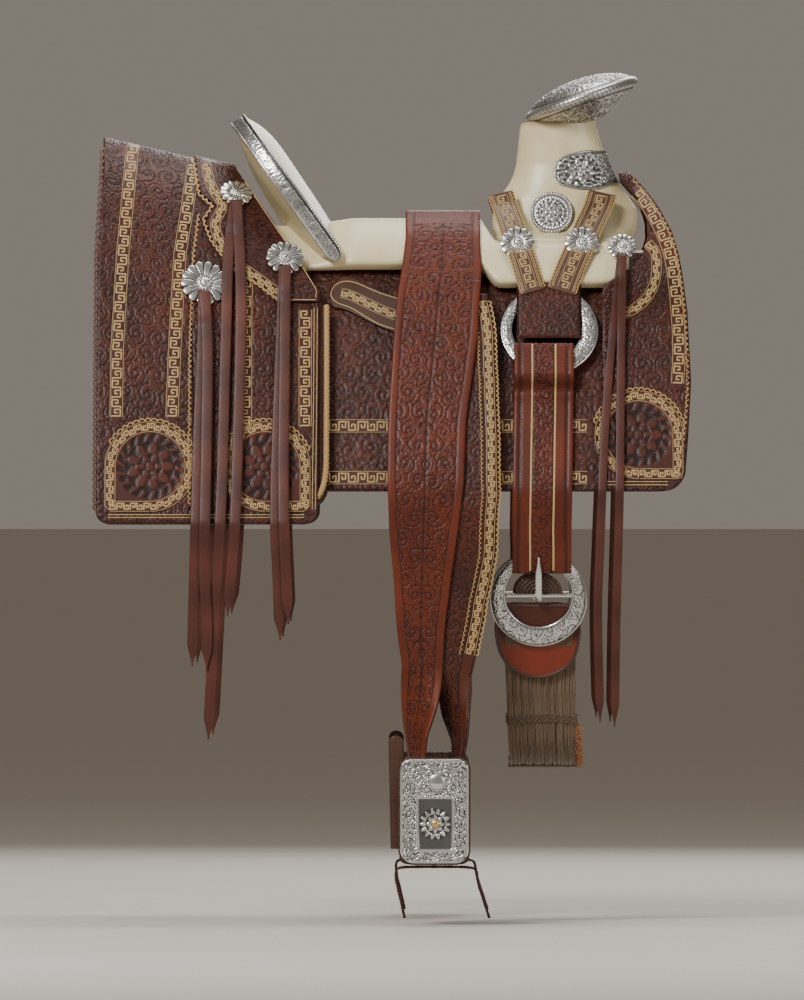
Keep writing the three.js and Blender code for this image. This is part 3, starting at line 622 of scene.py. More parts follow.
def maths(tree, operation, a, b, clamp=False):
    node = tree.nodes.new("ShaderNodeMath")
    node.operation = operation
    node.use_clamp = clamp
    for socket, value in zip(node.inputs, (a, b)):
        if isinstance(value, (int, float)):
            socket.default_value = value
        else:
            tree.links.new(value, socket)
    return node.outputs[0]


def add_bump(tree, shader, heights):
    """heights is a list of (socket, strength, distance in metres)."""
    last = None
    for socket, strength, distance in heights:
        bump = tree.nodes.new("ShaderNodeBump")
        bump.inputs["Strength"].default_value = strength
        bump.inputs["Distance"].default_value = distance
        tree.links.new(socket, bump.inputs["Height"])
        if last is not None:
            tree.links.new(last, bump.inputs["Normal"])
        last = bump.outputs["Normal"]
    tree.links.new(last, shader.inputs["Normal"])


def leather(name, ground, raised, worn, roughness=(0.34, 0.6), coat=0.25):
    """Carved leather: painted shade darkens the cut ground and a painted highlight lightens the raised leather;
    lighter patches on the high spots are wear; fine grain.
    """
    material, tree, shader = new_material(name)
    tool = tool_value(tree)
    patches = object_noise(tree, 14.0, 5.0)
    speck = object_noise(tree, 160.0, 3.0)
    # Painted shade and highlight: the tool value runs from the dark cut ground to the lighter raised leather.
    base = mix_colour(tree, tool, ground, raised)
    rub = maths(tree, "MULTIPLY", maths(tree, "SUBTRACT", patches, 0.42, True), 1.6, True)
    rub = maths(tree, "MULTIPLY", rub, tool, True)
    mixed = tree.nodes.new("ShaderNodeMix")
    mixed.data_type = "RGBA"
    tree.links.new(rub, mixed.inputs["Factor"])
    tree.links.new(base, mixed.inputs["A"])
    mixed.inputs["B"].default_value = (*worn, 1)
    tree.links.new(mixed.outputs["Result"], shader.inputs["Base Color"])
    rough = maths(tree, "ADD", maths(tree, "MULTIPLY", speck, roughness[1] - roughness[0]), roughness[0])
    tree.links.new(rough, shader.inputs["Roughness"])
    shader.inputs["Coat Weight"].default_value = coat
    shader.inputs["Coat Roughness"].default_value = 0.35
    shader.inputs["Specular IOR Level"].default_value = 0.28
    cells = object_noise(tree, 900.0, kind="voronoi")
    add_bump(tree, shader, [(cells, 0.22, 0.0004), (speck, 0.3, 0.0005)])
    return material


def silver(name, dark=(0.02, 0.018, 0.016), bright=(0.74, 0.73, 0.71), roughness=0.2):
    material, tree, shader = new_material(name)
    tool = tool_value(tree)
    tarnish = object_noise(tree, 60.0, 4.0)
    level = maths(tree, "MULTIPLY", tool, maths(tree, "ADD", maths(tree, "MULTIPLY", tarnish, 0.5), 0.75),
                  True)
    tree.links.new(mix_colour(tree, level, dark, bright), shader.inputs["Base Color"])
    shader.inputs["Metallic"].default_value = 1.0
    rough = maths(tree, "SUBTRACT", roughness + 0.34, maths(tree, "MULTIPLY", tool, 0.3))
    tree.links.new(rough, shader.inputs["Roughness"])
    scratches = object_noise(tree, 420.0, 2.0)
    add_bump(tree, shader, [(scratches, 0.12, 0.0002)])
    return material


def thread_material(name, low, high, roughness=0.75):
    material, tree, shader = new_material(name)
    tool = tool_value(tree)
    speck = object_noise(tree, 700.0, 2.0)
    shade = maths(tree, "MULTIPLY", tool, maths(tree, "ADD", maths(tree, "MULTIPLY", speck, 0.7), 0.6), True)
    tree.links.new(mix_colour(tree, shade, low, high), shader.inputs["Base Color"])
    shader.inputs["Roughness"].default_value = roughness
    shader.inputs["Sheen Weight"].default_value = 0.2
    add_bump(tree, shader, [(speck, 0.5, 0.0004)])
    return material


def rawhide(name):
    material, tree, shader = new_material(name)
    cloud = object_noise(tree, 9.0, 6.0)
    stain = object_noise(tree, 26.0, 5.0)
    tool = tool_value(tree)
    base = mix_colour(tree, cloud, (0.58, 0.46, 0.22), (0.84, 0.75, 0.49))
    mixed = tree.nodes.new("ShaderNodeMix")
    mixed.data_type = "RGBA"
    # Darker where the tool value is low and where the stain noise is high: real stains, and painted shade where the
    # fork and the cantle meet the bars.
    stain_and_shade = maths(tree, "ADD", maths(tree, "SUBTRACT", 1.0, tool),
                 maths(tree, "MULTIPLY", maths(tree, "SUBTRACT", stain, 0.6, True), 1.2), True)
    tree.links.new(stain_and_shade, mixed.inputs["Factor"])
    tree.links.new(base, mixed.inputs["A"])
    mixed.inputs["B"].default_value = (0.24, 0.12, 0.04, 1)
    tree.links.new(mixed.outputs["Result"], shader.inputs["Base Color"])
    shader.inputs["Roughness"].default_value = 0.42
    shader.inputs["Coat Weight"].default_value = 0.3
    shader.inputs["Coat Roughness"].default_value = 0.25
    shader.inputs["Subsurface Weight"].default_value = 0.06
    shader.inputs["Subsurface Radius"].default_value = (0.01, 0.006, 0.003)
    add_bump(tree, shader, [(cloud, 0.3, 0.004), (object_noise(tree, 240.0, 3.0), 0.15, 0.0005)])
    return material


def fleece(name):
    material, tree, shader = new_material(name)
    curl = object_noise(tree, 190.0, 5.0)
    tree.links.new(mix_colour(tree, curl, (0.36, 0.29, 0.18), (0.80, 0.73, 0.58)),
                   shader.inputs["Base Color"])
    shader.inputs["Roughness"].default_value = 0.95
    shader.inputs["Sheen Weight"].default_value = 0.5
    add_bump(tree, shader, [(curl, 1.0, 0.004)])
    return material


PLUM = leather("plum_carved_leather", (0.008, 0.002, 0.001), (0.056, 0.012, 0.006), (0.15, 0.031, 0.011),
               coat=0.06)
RUSSET = leather("russet_carved_leather", (0.018, 0.003, 0.001), (0.098, 0.015, 0.004), (0.21, 0.035, 0.009),
                 coat=0.08)
UMBER = leather("umber_strap_leather", (0.016, 0.007, 0.004), (0.072, 0.030, 0.016), (0.12, 0.054, 0.03))
THONG = leather("thong_leather", (0.014, 0.005, 0.003), (0.080, 0.022, 0.014), (0.17, 0.042, 0.024),
                (0.36, 0.62), 0.1)
ORANGE = leather("safe_leather", (0.05, 0.009, 0.003), (0.20, 0.026, 0.008), (0.26, 0.042, 0.012))
SILVER = silver("engraved_silver")
BRASS = silver("brass_stud", (0.1, 0.06, 0.02), (0.75, 0.52, 0.22), 0.3)
THREAD = thread_material("gold_stitching", (0.13, 0.075, 0.025), (0.50, 0.34, 0.14), 0.6)
GOLD = thread_material("gold_lace", (0.12, 0.06, 0.018), (0.46, 0.28, 0.09), 0.6)
BROWN_LACE = thread_material("brown_lace", (0.015, 0.005, 0.003), (0.075, 0.022, 0.012), 0.5)
HORSEHAIR = thread_material("horsehair_cord", (0.035, 0.02, 0.011), (0.19, 0.125, 0.07), 0.9)
HIDE = rawhide("rawhide")
WOOL = fleece("lining_fleece")


# ---------------------------------------------------------------- leather panels

def panel_grid(ridge, left, right, bottom, off, step, top_gap=0.005):
    """Side-view grid of a panel: rows from the ridge line down, columns from left(z) to right(z).

    Gives x, nominal z and s, the distance down the leather, for the layer at that offset."""
    top = float(ridge(np.array(0.5 * (left(100.0) + right(100.0))), np.array(200.0))) - top_gap
    low = bottom - 0.33 * off
    t = np.concatenate([[0.0], np.geomspace(0.02, top - low, 400)])
    run = np.concatenate([[0], np.cumsum(np.hypot(np.diff(half_width(t)), np.diff(t)))])
    rows = int(run[-1] / step) + 1
    t = np.interp(np.linspace(0, run[-1], rows), run, t)
    share = t / t[-1]
    columns = int(abs(right(-100.0) - left(-100.0)) / step) + 1
    u = np.linspace(0, 1, columns)[None, :]
    x = left(-100.0) + (right(-100.0) - left(-100.0)) * u + np.zeros((rows, 1))
    for _ in range(5):
        crown = ridge(x, np.full_like(x, 200.0)) - top_gap
        z = crown - (crown - low) * share[:, None]
        r = ridge(x, z)
        zz = layer(r, r - z, off)[1]
        lo, hi = left(zz), right(zz)
        x = lo + (hi - lo) * u
    s = np.linspace(0, run[-1], rows)[:, None] + np.zeros_like(x)
    return x, z, s


def panel_points(ridge, x, z, off, height=0.0):
    r = ridge(x, z)
    y, zz, ny, nz = layer(r, r - z, off)
    return np.stack([x, -(y + height * ny), zz + height * nz], -1)


def edge_line(pairs):
    """x as a function of z from (z, x) pairs, straight between them."""
    pairs = sorted(pairs)
    zs = np.array([p[0] for p in pairs], float)
    xs = np.array([p[1] for p in pairs], float)
    return lambda z: np.interp(z, zs, xs)


def with_corner(edge, bottom, radius, sense):
    """The same edge with its bottom corner rounded; sense is +1 for a left edge, -1 for a right one."""
    def bent(z):
        d = np.clip((bottom + radius - z) / radius, 0, 1)
        return edge(z) + sense * radius * (1 - np.sqrt(np.maximum(1 - d * d, 0)))
    return bent


CARVE_DEPTH = 1.1
EDGE_DROP = 1.3


def leather_panel(name, ridge, left, right, bottom, inner, outer, relief, material, body, nodes, slot,
                  step=1.5, top_gap=0.005):
    """A carved leather panel on both sides. relief(x, z, s) gives 0 to 1, cut ground to raised."""
    x, z, s = panel_grid(ridge, left, right, bottom, outer, step, top_gap)
    zz = layer(ridge(x, z), ridge(x, z) - z, outer)[1]
    carve = relief(x, zz, s)
    low_edge = np.minimum(zz - bottom, np.minimum(x - left(zz), right(zz) - x))
    crown = smoothstep(0.0, 3.0, low_edge)
    top = panel_points(ridge, x, z, outer, -CARVE_DEPTH * (1 - carve) - EDGE_DROP * (1 - crown))
    under = panel_points(ridge, x, z, inner)
    piece = Pieces()
    # Painted shade in the cut ground and painted highlight on the raised leather, through the tool colour.
    slab(piece, top, under, 0.08 + 0.92 * carve * (0.75 + 0.25 * crown), 0.35)
    return piece.both(name, material, body, nodes, slot)


def clear_of(bands, x, z):
    """1 away from bands and 0 on them; each band is (path, half width)."""
    free = np.ones(np.shape(x))
    for corners, half in bands:
        path = resample(corners, 4.0)
        distance = np.full(np.shape(x), 1e9)
        for (ax, az), (bx, bz) in zip(path[:-1], path[1:]):
            ux, uz = bx - ax, bz - az
            t = np.clip(((x - ax) * ux + (z - az) * uz) / (ux * ux + uz * uz), 0, 1)
            distance = np.minimum(distance, np.hypot(x - ax - t * ux, z - az - t * uz))
        free = free * smoothstep(half - 0.4, half + 0.6, distance)
    return free


def arc(cx, cz, radius, start, end, count=24):
    """Side-view points on an arc; angles in degrees, anticlockwise from +X."""
    a = np.radians(np.linspace(start, end, count))
    return np.stack([cx + radius * np.cos(a), cz + radius * np.sin(a)], -1)


def cantle_back(z):
    """The side-view line in which the leathers behind meet the cantle."""
    return -106 - 0.6644 * (z - 20)


# Bag cover: the big tooled panel over the saddle bags.
cover_at = on_layer(rear_ridge, 24.5)
COVER_LEFT = with_corner(edge_line([(-300, -381), (60, -381), (150, -376), (200, -375), (260, -378)]),
                         COVER_BOTTOM, 16, 1)
COVER_RIGHT_STRAIGHT = edge_line([(-300, -103), (12, -101), (20, -107), (171, cantle_back(171) - 1),
                                  (185, -214), (260, -214)])
COVER_RIGHT = with_corner(COVER_RIGHT_STRAIGHT, COVER_BOTTOM, 16, -1)
BAND_REAR = [(-356, -146), (-355, -60), (-349, 60), (-344, 120), (-338, 200)]
BAND_SECOND = [(-286, -146), (-283, -60), (-277, 60), (-268, 120), (-258, 196)]
BAND_THIRD = [(-194, -160), (-194, 0), (-193, 30)]
BAND_FRONT = [(-119, -158), (-119, -10)]
REAR_DISC = (-313, -208, 57)
FRONT_DISC = (-169, -208, 57)


def disc_band(cx, cz, radius, corner):
    """A ring with one bottom corner squared: corner is -1 for rear, +1 for front, 0 for none."""
    if corner == 0:
        return arc(cx, cz, radius, 0, 360, 60)
    if corner < 0:
        return np.concatenate([arc(cx, cz, radius, -90, 180, 44), [(cx - radius, cz - radius)],
                               [(cx, cz - radius)]])
    return np.concatenate([arc(cx, cz, radius, 270, 0, 44), [(cx + radius, cz - radius)],
                           [(cx, cz - radius)]])


def in_disc(x, z, cx, cz, radius, corner):
    """Distance-like value: below 1 inside the ring, with its squared corner."""
    near = np.hypot(x - cx, z - cz) / radius
    square = np.maximum(np.abs(x - cx), np.abs(z - cz)) / radius
    in_corner = ((x - cx) * corner > 0) & (z < cz)
    return np.where(in_corner, square, near)


def cover_relief(x, z, s):
    carve = floral(x, s, 29.0, 1)
    bands = [(band, 8.2) for band in (BAND_REAR, BAND_SECOND, BAND_THIRD, BAND_FRONT)]
    carve = carve * clear_of(bands, x, z)
    flat = 1 - clear_of([(BAND_REAR, 7.6), (BAND_SECOND, 7.6), (BAND_THIRD, 7.6), (BAND_FRONT, 7.6)], x, z)
    for (cx, cz, radius), corner in ((REAR_DISC, -1), (FRONT_DISC, 1)):
        _, height = medallion(x, z, cx, cz, radius - 15)
        near = in_disc(x, z, cx, cz, radius, corner) * radius
        round_one = np.hypot(x - cx, z - cz) < radius - 15
        carve = np.where(near < radius + 2, np.where(round_one, height, 0.9), carve)
        carve = np.where(np.abs(near - radius - 1) < 0.7, 0.0, carve)
    seam = np.abs(x + 262 + 0.03 * z)
    return np.clip(np.maximum(carve, 0.85 * flat) * smoothstep(0.3, 1.6, seam), 0, 1)


leather_panel("{s}_bag_cover_leather", rear_ridge, COVER_LEFT, COVER_RIGHT, COVER_BOTTOM, 20.6, 24.5,
              cover_relief, PLUM, "saddle", ["{s}_bag_cover"], "tooled_leather", step=1.45)

stitch = Pieces()
for band in (BAND_REAR, BAND_SECOND, BAND_THIRD, BAND_FRONT):
    key_band(stitch, band, cover_at)
for (cx, cz, radius), corner in ((REAR_DISC, -1), (FRONT_DISC, 1)):
    key_band(stitch, disc_band(cx, cz, radius - 7, corner), cover_at, half=5.0)
BOTTOM_RUN = [(-366, -272), (-120, -272)]
thread(stitch, [resample(BOTTOM_RUN, LINE_STEP), resample([(-366, -268.5), (-120, -268.5)], LINE_STEP)],
       cover_at, 1.2, 0.7, 0.9)
FRONT_RUN = [(-106, -262), (-104.5, -120), (-104, -8)]
thread(stitch, [resample(FRONT_RUN, LINE_STEP),
                resample([(-110, -262), (-108.5, -120), (-108, -8)], LINE_STEP)], cover_at, 1.1, 0.7, 0.9)
stitch.both("{s}_cover_stitching", THREAD, "saddle", slot="thong")

lace = Pieces()
scallops(lace, [(-262, -255), (-262, -60), (-258, 60), (-252, 110)], cover_at, 3.2, 6.6, 1)
scallops(lace, arc(*REAR_DISC, 150, 20, 30), cover_at, 3.4, 7.2, 1)
scallops(lace, arc(*FRONT_DISC, 150, 20, 30), cover_at, 3.4, 7.2, 1)
lace.both("{s}_cover_lace", GOLD, "saddle", slot="thong")

edge_lace = Pieces()
scallops(edge_lace, [(-379.5, -262), (-379.5, 60), (-374.5, 150), (-373, 196)], cover_at, 4.4, 8.6, 1,
         width=3.2, lift=-1.6)
edge_lace.both("{s}_cover_edge_lace", BROWN_LACE, "saddle", slot="thong")

# Bag: plain gusset behind the cover, with a laid gold cord down its front edge.
bag = Pieces()
BAG_LEFT = with_corner(edge_line([(-300, -372), (260, -372)]), -259, 30, 1)
BAG_RIGHT = with_corner(edge_line([(-300, -92), (-10, -92), (20, -109), (165, -206), (260, -215)]), -259, 30,
                        -1)
bx, bz, bs = panel_grid(rear_ridge, BAG_LEFT, BAG_RIGHT, -259, 20, 7.0)
swell = 2.2 * noise(bx, bs, 60, 5) - 2.6
slab(bag, panel_points(rear_ridge, bx, bz, 20, swell), panel_points(rear_ridge, bx, bz, 6.2), 0.5, 0.5)
bag.both("{s}_bag_leather", PLUM, "saddle", ["{s}_bag"], "tooled_leather")
bag_at = on_layer(rear_ridge, 18)
braid = Pieces()
line = smooth_path([(-92.5, -6), (-92.2, -80), (-92.4, -160), (-93.2, -214), (-99, -240), (-112, -254)], 1.2)
tube(braid, bag_at(line[:, 0], line[:, 1], 1.2), 3.0, 10, 1.0, 1.1, 3, 0.3, up=(0, -1, 0))
braid.both("{s}_bag_edge_braid", GOLD, "saddle", slot="thong")

# Rear jockey: the shaped seat leather behind the cantle.
jockey_at = on_layer(rear_ridge, 28.5)
JOCKEY_LEFT = edge_line([(-4, -146), (24, -176), (47, -212), (80, -235), (100, -245), (114, -240),
                         (122, -232), (130, -240), (136, -250), (150, -256), (180, -260), (260, -262)])
JOCKEY_RIGHT = edge_line([(-4, -101), (14, -100), (46, cantle_back(46) - 3), (105, cantle_back(105) + 1),
                          (168, cantle_back(168) - 2), (190, -212), (260, -212)])
JOCKEY_BAND = [(-150, 8), (-180, 30), (-208, 50), (-226, 74), (-233, 98), (-224, 122), (-238, 146),
               (-246, 176)]


def jockey_relief(x, z, s):
    carve = floral(x + 11, s, 27.0, 2)
    free = clear_of([(JOCKEY_BAND, 8.0)], x, z)
    flat = 1 - clear_of([(JOCKEY_BAND, 7.4)], x, z)
    return np.maximum(carve * free, flat * 0.85)


leather_panel("{s}_rear_jockey_leather", rear_ridge, JOCKEY_LEFT, JOCKEY_RIGHT, -3.0, 25.1, 28.5,
              jockey_relief, PLUM, "saddle", ["{s}_rear_jockey"], "tooled_leather", step=1.4)
stitch = Pieces()
key_band(stitch, JOCKEY_BAND, jockey_at, half=4.8, smooth=True)
thread(stitch, [resample([(-138, 2), (-106, 2)], LINE_STEP),
                resample([(-106, 4), (-105, 14), (-118, 36), (-150, 84), (-196, 152)], LINE_STEP)],
       jockey_at, 1.2, 0.7, 0.9)
stitch.both("{s}_rear_jockey_stitching", THREAD, "saddle", slot="thong")
lace = Pieces()
scallops(lace, [(-144, -3), (-176, 22), (-212, 45), (-237, 80), (-246, 104), (-234, 122), (-252, 138),
                (-258, 176)],
         jockey_at, 3.0, 7.0, 1, lift=-1.0, width=2.0)
lace.both("{s}_rear_jockey_lace", GOLD, "saddle", slot="thong")

# Base skirt: one long leather under the tree, seen between the other leathers.
skirt_at = on_layer(seat_ridge, 12)
SKIRT_LEFT = with_corner(edge_line([(-300, -300), (260, -300)]), SKIRT_BOTTOM, 30, 1)
SKIRT_RIGHT = with_corner(edge_line([(-300, 340), (260, 340)]), SKIRT_BOTTOM, 30, -1)
SKIRT_BANDS = [([(-90, -157), (236, -157)], 8.0), ([(-90, -222), (236, -222)], 8.0)]


def skirt_relief(x, z, s):
    return np.maximum(floral(x + 5, s, 29.0, 6) * clear_of(SKIRT_BANDS, x, z),
                      0.85 * (1 - clear_of(SKIRT_BANDS, x, z)))


leather_panel("{s}_base_skirt_leather", seat_ridge, SKIRT_LEFT, SKIRT_RIGHT, SKIRT_BOTTOM, 8.1, 12,
              skirt_relief, PLUM, "saddle", ["{s}_base_skirt"], "tooled_leather", step=1.9, top_gap=34)
stitch = Pieces()
for corners, _ in SKIRT_BANDS:
    key_band(stitch, corners, skirt_at)
stitch.both("{s}_skirt_stitching", THREAD, "saddle", slot="thong")

# Front jockey: the leather in front of the rings.
front_at = on_layer(front_ridge, 16.5)
FRONT_LEFT = edge_line([(-240, 254), (14, 254), (22, 258), (32, 272), (44, 292), (60, 305), (84, 312),
                        (104, 311), (124, 305), (142, 292), (156, 279), (166, 277), (260, 277)])
FRONT_RIGHT = with_corner(edge_line([(-240, 356), (-170, 362), (-100, 366), (-12, 362), (40, 355),
                                     (62, 351), (92, 342), (122, 326), (146, 309), (162, 295), (172, 286),
                                     (260, 281)]),
                                     SKIRT_BOTTOM, 26, -1)
FRONT_EDGE_BAND = [(349, -104), (351, -60), (349, -12), (342, 50), (330, 88), (312, 122), (298, 140)]
FRONT_ARC_BAND = [(312, 74), (322, 60), (322, 30), (312, 6), (294, -10), (274, -18)]
FRONT_DISC_2 = (300, -168, 56)


def front_relief(x, z, s):
    carve = floral(x + 3, s, 28.0, 9)
    bands = [(FRONT_EDGE_BAND, 8.0), (FRONT_ARC_BAND, 8.0)]
    carve = np.maximum(carve * clear_of(bands, x, z), 0.85 * (1 - clear_of(bands, x, z)))
    cx, cz, radius = FRONT_DISC_2
    _, height = medallion(x, z, cx, cz, radius - 15)
    near = in_disc(x, z, cx, cz, radius, 1) * radius
    carve = np.where(near < radius + 2, np.where(np.hypot(x - cx, z - cz) < radius - 15, height, 0.9), carve)
    return np.where(np.abs(near - radius - 1) < 0.7, 0.0, carve)


leather_panel("{s}_front_jockey_leather", front_ridge, FRONT_LEFT, FRONT_RIGHT, SKIRT_BOTTOM, 12.6, 16.5,
              front_relief, PLUM, "saddle", ["{s}_front_jockey"], "tooled_leather", step=1.45)
stitch = Pieces()
key_band(stitch, FRONT_EDGE_BAND, front_at, smooth=True)
key_band(stitch, FRONT_ARC_BAND, front_at, half=4.8, smooth=True)
key_band(stitch, disc_band(FRONT_DISC_2[0], FRONT_DISC_2[1], FRONT_DISC_2[2] - 7, 1), front_at, half=5.0)
thread(stitch, [resample([(260, -231), (336, -231)], LINE_STEP),
                resample([(260, -227), (336, -227)], LINE_STEP)], front_at, 1.2, 0.7, 0.9)
stitch.both("{s}_front_jockey_stitching", THREAD, "saddle", slot="thong")
lace = Pieces()
scallops(lace, [(352, -216), (360, -150), (363.5, -98), (360, -14), (350, 58), (338, 96), (316, 132),
                (296, 158)],
         front_at, 3.2, 7.0, 1, smooth=True, lift=-0.9, width=2.0)
scallops(lace, arc(*FRONT_DISC_2, 165, 15, 30), front_at, 3.4, 7.2, 1)
lace.both("{s}_front_jockey_lace", GOLD, "saddle", slot="thong")

# Rigging tab: a rounded strap end behind the stirrup leather.
tab_at = on_layer(seat_ridge, 16)
tab = Pieces()
tab_rows = []
centre_line = smooth_path([(-84, 14), (-60, 9), (-20, -11), (20, -24), (58, -26)], 1.6)
for k, (px, pz) in enumerate(centre_line):
    d = k * 1.6
    half = 20.5 * math.sqrt(max(0.0, 1 - max(0.0, (9 - d) / 9.4) ** 2)) + 0.3
    across = np.linspace(-half, half, 26)
    tab_rows.append(np.stack([px + across * 0.28, pz + across * 0.96], -1))
tab_rows = np.array(tab_rows)
tab_top = tab_at(tab_rows[..., 0], tab_rows[..., 1], 0.0)
tab_under = tab_at(tab_rows[..., 0], tab_rows[..., 1], -3.2)
slab(tab, tab_top, tab_under, 0.75, 0.4)
tab.both("{s}_rigging_tab_leather", UMBER, "saddle", ["{s}_rigging_tab"], "tooled_leather")
stitch = Pieces()
key_band(stitch, [(-74, 11), (-60, 7), (-20, -12), (20, -25), (52, -27)], tab_at, half=4.6, smooth=True)
thread(stitch, [smooth_path([(40, -44), (-20, -31), (-60, -9), (-80, -1), (-87, 9), (-80, 22), (-60, 25),
                             (-20, 9), (40, -7)], LINE_STEP)],
       tab_at, 1.3, 0.8, 0.95)
stitch.both("{s}_rigging_tab_stitching", THREAD, "saddle", slot="thong")


# ---------------------------------------------------------------- the tree

def loft(piece, rings, colour=1.0):
    """A closed solid through rings of points, each (sides, 3)."""
    rings = np.asarray(rings, float)
    rows, sides = rings.shape[:2]
    points = rings.reshape(-1, 3)
    faces = grid_faces(rows, sides, False, True)
    middle = rings.mean((0, 1))
    faces = outward(points, faces, points[faces[:, 0]] - middle)
    flip = np.array_equal(faces[0], grid_faces(rows, sides, False, True)[0])
    first = np.arange(sides)[None, :]
    last = first + (rows - 1) * sides
    blocks = [faces, first[:, ::-1] if flip else first, last if flip else last[:, ::-1]]
    piece.add(points, blocks, np.broadcast_to(np.asarray(colour, float), (rows, sides)).reshape(-1))


# Fork: an oval neck that spreads on to the bars.
FORK_SECTIONS = [  # height, rear x, front x, half width, squareness
    (64, 130, 286, 56, 0.62), (78, 121, 295, 55.5, 0.62), (92, 117, 299, 54.5, 0.66),
    (106, 117, 301, 51, 0.74),
    (120, 119, 299, 46, 0.78), (134, 126, 290, 42, 0.82), (147, 136, 279, 38.5, 0.86),
    (160, 143, 270, 35, 0.9),
    (175, 147, 264, 31.5, 0.93), (192, 149, 258, 29.5, 0.95), (208, 150.5, 252, 28, 0.96),
    (222, 151.5, 247, 27.5, 0.96),
    (236, 152.5, 243, 27, 0.96)]
NECK_X = 190.0
heights = np.linspace(64, 236, 80)
table = np.array(FORK_SECTIONS, float)
angle = np.linspace(0, TAU, 120, endpoint=False)
fork_rings, fork_shade = [], []
for h in heights:
    rear, ahead, half, square = (np.interp(h, table[:, 0], table[:, k]) for k in (1, 2, 3, 4))
    c, s = np.cos(angle), np.sin(angle)
    x = (rear + ahead) / 2 + (ahead - rear) / 2 * np.sign(c) * np.abs(c) ** square
    # Two swells run down to the bars under the straps, and the flank between them stays upright.
    swell = 27 * smoothstep(112, 66, h) * smoothstep(22, 46, np.abs(x - NECK_X))
    swell = np.maximum(swell, 35 * smoothstep(91, 77, h))
    y = (half + swell) * np.sign(s) * np.abs(s) ** square
    # The collar under the horn cap follows the cap's tilt.
    tip = np.clip((h - 200) / 36, 0, 1)
    z = h + tip * (x - 200) * 0.2
    fork_rings.append(np.stack([x, y, z], -1))
    # A stain darkens the band under the horn cap; the darkening at the foot, where the fork meets the bars, is painted
    # shade.
    fork_shade.append(1 - 0.75 * smoothstep(222, 236, h + 6 * np.sin(3 * angle))
                      - 0.25 * smoothstep(80, 66, h))
fork = Pieces()
loft(fork, fork_rings, np.array(fork_shade))
fork.build("fork_rawhide", HIDE, "saddle", ["fork"], "rawhide")


# Bars: thick boards with rounded edges, lying on the skirt.
def bar_rings():
    rings = []
    phase = np.linspace(0, TAU, 44, endpoint=False)
    for x in np.linspace(-214, 289, 90):
        rear = np.clip((-60 - x) / 60, 0, 1)
        ahead = smoothstep(98, 124, np.array(x))
        end = np.maximum(0, (x - 262) / 28) ** 2 * 12 + np.maximum(0, (-190 - x) / 25) ** 2 * 10
        low, high = 60 + 22 * ahead - end, 10 + 24 * ahead + end
        inner, outer = 15.5, 37.5 - 13 * rear
        tip = math.sqrt(max(0.02, 1 - max(abs(x - 37.5) - 246, 0) ** 2 / 36))
        c, s = np.cos(phase), np.sin(phase)
        t = (low + high) / 2 + (low - high) / 2 * np.sign(c) * np.abs(c) ** 0.35
        off = (inner + outer) / 2 + (outer - inner) / 2 * tip * np.sign(s) * np.abs(s) ** 0.5
        y, z, _, _ = layer(np.full_like(t, SEAT_RIDGE), t, off)
        rings.append(np.stack([np.full_like(t, x), -y, z], -1))
    return rings


bars = Pieces()
loft(bars, bar_rings())
bars.both("{s}_bar_rawhide", HIDE, "saddle", ["{s}_bar"], "rawhide")

# Cantle: a dished board.
FOOT = np.array([-69.0, 0, 44.0])
UP = np.array([-0.585, 0, 0.811])
FRONTWARD = np.array([0.811, 0, 0.585])
CANTLE_LENGTH, CANTLE_HALF = 229.0, 122.0
CANTLE_SHOULDER = 92.0


def side_narrow(share):
    """How far the board's sides draw in toward the bars."""
    return 0.96 + 0.04 * share


def cantle_edge(angle, grow=0.0):
    c, s = np.cos(angle), np.sin(angle)
    across = np.sign(c) * np.abs(c) ** 0.72 * (CANTLE_HALF + grow)
    return across, CANTLE_SHOULDER + np.abs(s) ** 0.8 * (CANTLE_LENGTH - CANTLE_SHOULDER + grow)


def rim_edge(u, grow=0.0):
    """The rim's line: up one side of the board, over the top and down the other."""
    u = np.asarray(u, float)
    side_share = 0.18
    arc_across, arc_up = cantle_edge(np.pi * np.clip(1 - (u - side_share) / (1 - 2 * side_share), 0, 1), grow)
    climb = np.clip(np.minimum(u, 1 - u) / side_share, 0, 1)
    up = 12 + (CANTLE_SHOULDER - 12) * climb
    across = np.sign(u - 0.5) * (CANTLE_HALF + grow) * side_narrow((up - 6) / (CANTLE_SHOULDER - 6))
    over = (u > side_share) & (u < 1 - side_share)
    return np.where(over, arc_across, across), np.where(over, arc_up, up)


def cantle_point(across, up, forward):
    return (FOOT + UP * np.asarray(up)[..., None] + FRONTWARD * np.asarray(forward)[..., None]
            + np.array([0, 1.0, 0]) * np.asarray(across)[..., None])


u = np.linspace(0, 1, 97)[None, :]
v = np.linspace(0.12, 1, 60)[:, None]
across, up = cantle_edge(np.pi * (1 - u))
narrow = side_narrow(v)
height = 6 + (up - 6) * v
bow = 1 - (across * narrow / CANTLE_HALF) ** 2
front = 4 + 30 * bow * (0.35 + 0.65 * v) * (1 - 0.85 * v**6)
back = -(7 + 24 * bow * (1 - v**4) + 3 * (1 - v))
hollow = 7 * bow * np.exp(-((v - 0.62) / 0.25) ** 2)
front_points = cantle_point(across * narrow, height, front - hollow * 0.4)
back_points = cantle_point(across * narrow, height, back)
# The board stops at the seat leathers behind it and at the bars below it.
limit = cantle_back(back_points[..., 2]) + 0.8
over = np.maximum(limit - back_points[..., 0], 0) * (back_points[..., 2] < 176)
back_points[..., 0] += over
back_points[..., 0] = np.minimum(back_points[..., 0], front_points[..., 0] - 4)
cantle = Pieces()
# Painted shade: the board is darker toward its foot, where it meets the bars.
slab(cantle, front_points, back_points, 0.85 + 0.15 * smoothstep(0.2, 0.5, v) + 0 * u, 0.9)
cantle.build("cantle_rawhide", HIDE, "saddle", ["cantle"], "rawhide")

